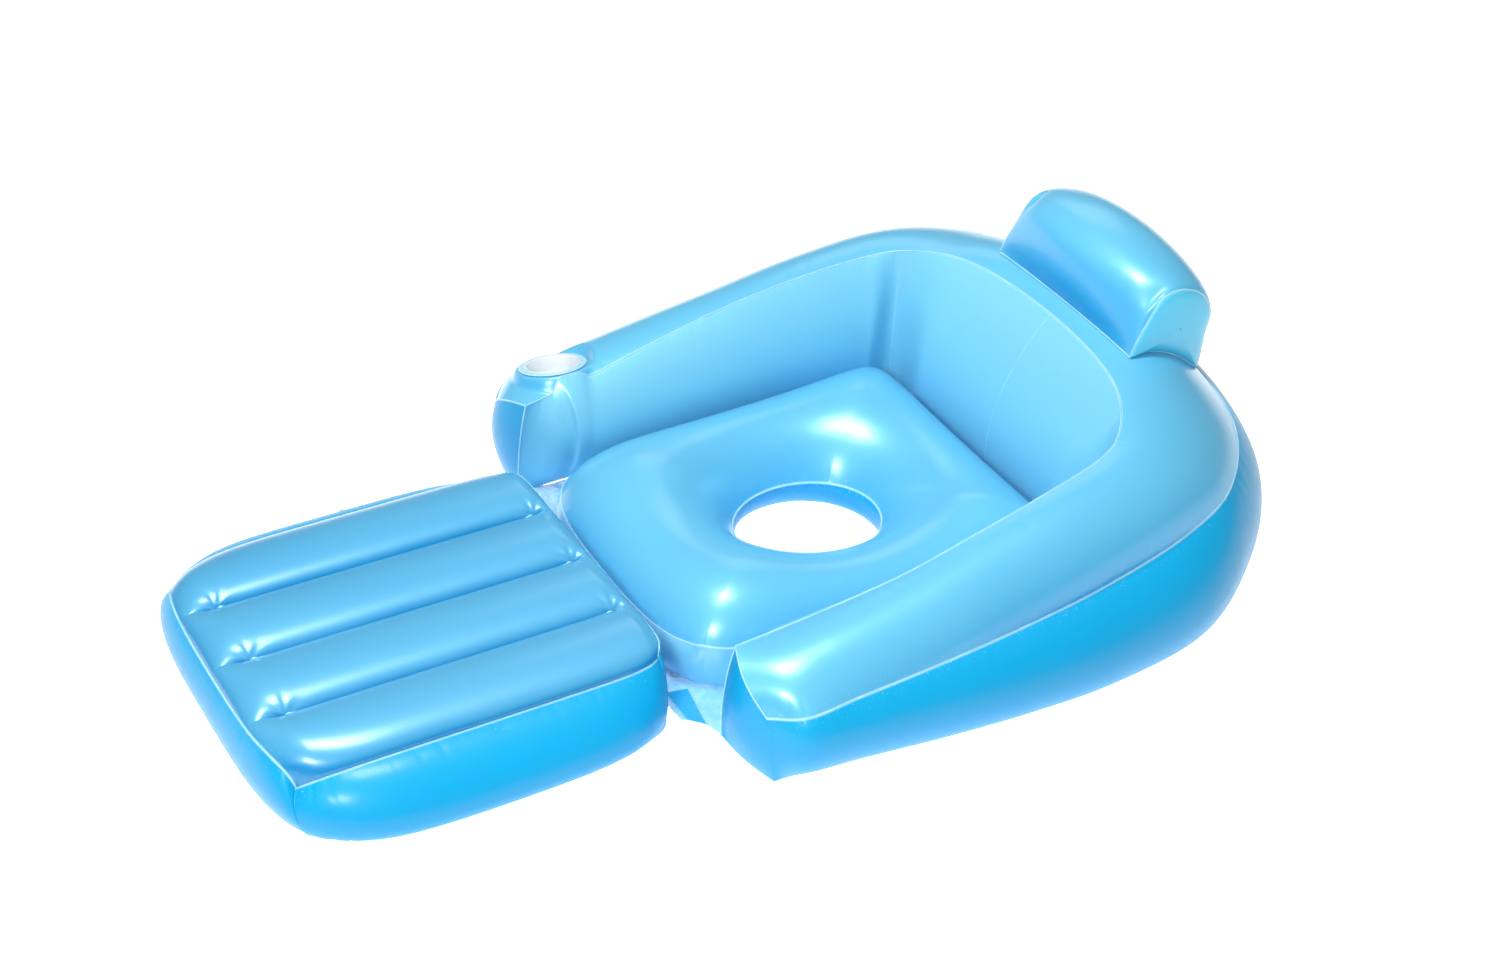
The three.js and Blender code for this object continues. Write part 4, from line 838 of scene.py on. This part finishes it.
def build_bolster():
    columns, rows, base_rows = 80, 72, 14
    along = np.linspace(0, 1, columns + 1)
    # gathered towards both ends
    along = along - 0.1 * np.sin(2 * np.pi * along) / 2
    xs = BOLSTER_HALF * (1 - 2 * along)
    coarse = np.linspace(-BOLSTER_HALF, BOLSTER_HALF, 15)
    base = []
    for b in np.linspace(0, 1, base_rows + 1):
        y = BOLSTER_FRONT_Y + (BOLSTER_BACK_Y - BOLSTER_FRONT_Y) * b
        zs = [on_top_panel(x, y)[2] + BOLSTER_STANDOFF for x in coarse]
        base.append(np.stack([xs, np.full_like(xs, y), np.interp(xs, coarse, zs)], 1))
    base = np.array(base)
    front, rear = base[0], base[-1]
    back = rear - front
    scale = np.linalg.norm(back, axis=1) / END_SECTION[-1][0]
    back = unit(back)
    up = unit(np.stack([np.zeros_like(xs), -back[:, 2], back[:, 1]], 1))
    swell = np.sin(np.pi * along) ** 0.55
    over = np.linspace(0, 1, rows + 1)
    ends, mids = (curve([(a, b, 0) for a, b in s], over) for s in (END_SECTION, MIDDLE_SECTION))
    wrap = []
    for k, o in enumerate(over):
        section = ends[k][None] * (1 - swell[:, None]) + mids[k][None] * swell[:, None]
        place = front + back * (section[:, :1] * scale[:, None]) + up * (section[:, 1:2] * scale[:, None])
        place[:, 0] -= BOLSTER_LEAN * (1 - 2 * along) * math.sin(math.pi * o)
        wrap.append(front if k == 0 else rear if k == rows else place)
    wrap = np.array(wrap)
    wrap_out = wrap - wrap.mean(0, keepdims=True)
    gathered = 1 + 2.2 * np.exp(-(along * (1 - along) / 0.05) ** 2)
    wrap = pucker(wrap, wrap_out, 51, 22, 0.7, (10, 26), gather=gathered)
    # the seam at each end is drawn in near its top, which gathers the film there
    for column in (0, columns):
        peak = wrap[int(rows * 0.35), column]
        away = np.linalg.norm((wrap - peak) * [0.8, 1.5, 1.5], axis=-1)
        fold = 7.5 * np.exp(-(away / 30) ** 2) * smooth(np.abs(wrap[..., 0] - peak[0]) / 12)
        wrap = wrap - unit(wrap_out) * fold[..., None]
    wrap_piece = surface("headrest_wrap_film", wrap, wrap_out, TOPLIT_FILM, valve="headrest")
    base_piece = surface("headrest_base_film", base, -ABOVE, FILL_LIT_FILM)
    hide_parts("headrest_wrap_panel")
    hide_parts("headrest_base_panel")
    pieces = [wrap_piece, base_piece]
    for name, side, column in (("left", 1, 0), ("right", -1, columns)):
        ring = np.vstack([wrap[:, column], base[1:-1, column][::-1]])
        middle = ring.mean(0)
        grid = []
        for s in np.linspace(0, 0.985, 26):
            row = ring + (middle - ring) * s
            row = row + [side * BOLSTER_END_BULGE * 1.6 * math.sqrt(1 - (1 - s) ** 2), 0, 0]
            grid.append(row)
        way = np.array([float(side), 0.0, 0.0])
        piece = surface(f"headrest_{name}_film", np.array(grid), way, LIT_ENDS_FILM, closed=True,
                        ends=(True, False))
        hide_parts(f"headrest_{name}_end")
        pieces.append(piece)
        pieces.append(bead(f"headrest_{name}_bead", ring, BEAD_HIGHLIGHT, 1.2, closed=True))
    pieces.append(bead("headrest_front_bead", front, BEAD_HIGHLIGHT, 1.1))
    pieces.append(bead("headrest_rear_bead", rear, BEAD_HIGHLIGHT, 1.1))
    for piece in pieces:
        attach(piece, "lounge")


build_bolster()

# ---------------------------------------------------------------- film hinge web


def web_outline():
    """The web's outline, from the hinge round the foot of the arms and the back."""
    line = seam_line("inner_bottom")
    upper = seam_line("inner_top")
    half_angle = 2 * np.arctan(2 * inner_rise(STATION) / np.linalg.norm(upper - line, axis=1))
    inset = 0.6 + 2.3 * np.tan(half_angle)
    inside = line + level_out(line, -1) * inset[:, None]
    start = np.array([[WEB_CORNER_X, inside[0, 1] - 0.6, 0]])
    end = np.array([[HINGE_HALF + TAB, HINGE_Y + 0.3, 0]])
    way = unit(np.array([[-1.0, 1.0, 0]]))
    curve_rows = arcs(end, start, way, WEB_WAIST / 4, np.linspace(0, 1, 24))[:, 0]
    front_y = REST_MIDDLE_Y + REST_HALF_LENGTH * FOOT_SHARE + 1.6
    strip = np.stack([np.linspace(-HINGE_HALF, HINGE_HALF, 60), np.full(60, front_y), np.zeros(60)], 1)
    side = np.stack([np.full(6, HINGE_HALF), np.linspace(front_y, HINGE_Y + 0.3, 6), np.zeros(6)], 1)[1:-1]
    mirror = np.array([-1.0, 1, 1])
    return np.vstack([
        strip, side, curve_rows, inside[1:-1], (curve_rows * mirror)[::-1], (side * mirror)[::-1],
    ])


def build_web():
    middle = np.array([0.0, (SEAT_FRONT_Y + SEAT_BACK_Y) / 2, 0])
    outline = web_outline()
    turn = np.unwrap(np.arctan2(outline[:, 1] - middle[1], outline[:, 0]))
    order = np.argsort(turn)
    turn, reach = turn[order], np.linalg.norm(outline - middle, axis=1)[order]
    turn = np.concatenate([turn - 2 * math.pi, turn, turn + 2 * math.pi])
    reach = np.tile(reach, 3)
    foot = seat_outline(square_walk(180), 0, 5)
    at = np.arctan2(foot[:, 1] - middle[1], foot[:, 0])
    rays = np.stack([np.cos(at), np.sin(at), np.zeros_like(at)], 1)
    outer = middle + rays * np.interp(at, turn, reach)[:, None]
    rows = np.array([foot + (outer - foot) * s for s in np.linspace(0, 1, 15)])
    x, y = rows[..., 0], rows[..., 1]
    ripple = np.sin(x * 0.21 + 1.0) * np.sin(y * 0.17) + 0.6 * np.sin(x * 0.47 + 2)
    rows[..., 2] = 1.5 + 0.45 * ripple
    web = surface("hinge_web", rows, ABOVE, WEB, closed=True)
    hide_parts("floor_web", "footrest_hinge_strip")
    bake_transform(web)
    edges = rows[-1]
    off = (np.abs(edges[:, 0]) > HINGE_HALF + 2) & (edges[:, 1] < -150)
    for name, side in (("left", 1), ("right", -1)):
        line = edges[off & (edges[:, 0] * side > 0)]
        line = line[np.argsort(line[:, 1])]
        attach(bead(f"{name}_web_hem", line, BEAD_HIGHLIGHT, 0.7), "lounge")
        corners = np.array(TAB_CORNERS, float)
        s, t = (share[..., None] for share in np.meshgrid(np.linspace(0, 1, 22), np.linspace(0, 1, 18)))
        near, far = corners[0] * (1 - s) + corners[1] * s, corners[3] * (1 - s) + corners[2] * s
        plan = near * (1 - t) + far * t
        z = 2.9 + 0.35 * np.sin(plan[..., 0] * 0.7) * np.cos(plan[..., 1] * 0.5)
        grid = np.stack([side * plan[..., 0], HINGE_Y + plan[..., 1], z], -1)
        tab = surface(f"{name}_tab_film", grid, ABOVE, TAB_FILM)
        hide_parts(f"{name}_hinge_tab")
        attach(tab, "lounge")


build_web()

# ---------------------------------------------------------------- drink holder and valves


def build_cup():
    across = Vector((CUP_AXIS[2], 0, -CUP_AXIS[0]))
    axis = Vector(CUP_AXIS)
    along = axis.cross(across)
    rows = [(across[k], along[k], axis[k], CUP_MOUTH[k]) for k in range(3)]
    place = Matrix(rows + [(0, 0, 0, 1)])
    flange = [(42.9, 0.7), (50, 0.6), (52.6, 0.8), (53.4, 1.6), (52.8, 2.5), (51, 3.1), (49, 2.9), (47, 2.7),
              (45.2, 3.2), (43.6, 3.5), (42.9, 3.1)]
    wall = [(40.9, -84), (41.5, -85.6), (42.4, -85.4), (42.5, -60), (42.3, -40), (42.5, -12), (42.6, 2.0),
            (42.9, 3.4), (42.3, 4.0), (41.4, 3.8), (40.9, 2.6), (40.8, -12), (40.5, -34), (40.8, -60)]
    floor = [(0.02, -88), (20, -88.1), (40, -88), (42.2, -87.4), (42.2, -86.5), (40, -86.1), (34, -86.0),
             (30, -85.3), (27, -86.0), (14, -86.1), (0.02, -86)]
    for name, node, profile, material, slot, ripple in (
            ("cup_flange_ring", "cup_holder_flange", flange, RING, "web_film", 0.0015),
            ("cup_wall_sleeve", "cup_holder_wall", wall, WHITE, "cup_film", 0.004),
            ("cup_floor_disc", "cup_holder_floor", floor, WHITE, "cup_film", 0.0015)):
        piece = lathe(name, profile, place, material, ripple)
        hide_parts(node)
        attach(piece, "lounge")


build_cup()

for node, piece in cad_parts.items():
    if "_valve_" in node:
        piece.data.materials.clear()
        piece.data.materials.append(VALVE)

# ---------------------------------------------------------------- camera, light and floor


CAMERA_PLACE = (2.5516, -1.5713, 2.3092)
CAMERA_ANGLES = (57.92, 35.75, 3.40)  # azimuth, elevation and roll, in degrees
LENS = 60.86


def aim_camera():
    azimuth, elevation, roll = (math.radians(angle) for angle in CAMERA_ANGLES)
    forward = Vector((-math.sin(azimuth) * math.cos(elevation), math.cos(azimuth) * math.cos(elevation),
                      -math.sin(elevation)))
    level = forward.cross(Vector((0, 0, 1))).normalized()
    rise = level.cross(forward)
    right = level * math.cos(roll) + rise * math.sin(roll)
    up = -level * math.sin(roll) + rise * math.cos(roll)
    camera = bpy.data.objects.new("camera", bpy.data.cameras.new("camera"))
    camera.data.sensor_width = 36
    camera.data.lens = LENS
    rows = [(right[k], up[k], -forward[k], CAMERA_PLACE[k]) for k in range(3)]
    camera.matrix_world = Matrix(rows + [(0, 0, 0, 1)])
    bpy.context.scene.collection.objects.link(camera)
    bpy.context.scene.camera = camera


aim_camera()


def soft_light(name, place, target, size, power):
    lamp = bpy.data.lights.new(name, "AREA")
    lamp.shape = "RECTANGLE"
    lamp.size = lamp.size_y = size
    lamp.energy = power
    light = bpy.data.objects.new(name, lamp)
    light.location = place
    light.rotation_mode = "QUATERNION"
    light.rotation_quaternion = (Vector(target) - Vector(place)).to_track_quat("-Z", "Y")
    bpy.context.scene.collection.objects.link(light)


soft_light("overhead_softbox", (-0.1, -0.5, 3.2), (0, 0, 0), 1.0, 78)
soft_light("front_softbox", (2.0, -2.4, 2.6), (0, -0.1, 0.1), 0.8, 76)
soft_light("far_softbox", (-2.6, 1.8, 2.4), (0, 0.2, 0.2), 1.4, 8)

world = bpy.data.worlds.new("studio")
world.use_nodes = True
background = next(n for n in world.node_tree.nodes if n.type == "BACKGROUND")
background.inputs["Color"].default_value = (1, 1, 1, 1)
background.inputs["Strength"].default_value = 0.18
bpy.context.scene.world = world
bpy.context.scene.view_settings.view_transform = "Standard"


def make_floor():
    n = Nodes("floor_material")
    tones = [(0.2, (0.93, 0.94, 0.95, 1)), (0.8, (0.96, 0.96, 0.965, 1))]
    n.link(n.ramp(n.noise(0.7, 2.0, 0.5), tones), n.shader.inputs["Base Color"])
    n.shader.inputs["Roughness"].default_value = 0.9
    n.shader.inputs["Emission Color"].default_value = (1, 1, 1, 1)
    n.shader.inputs["Emission Strength"].default_value = 0.95
    side = 40.0
    mesh = bpy.data.meshes.new("floor")
    corners = [(-side, -side, 0), (side, -side, 0), (side, side, 0), (-side, side, 0)]
    mesh.from_pydata(corners, [], [(0, 1, 2, 3)])
    mesh.materials.append(n.material)
    floor = bpy.data.objects.new("floor", mesh)
    bpy.context.scene.collection.objects.link(floor)
    floor.location.z = FLOOR_Z


make_floor()
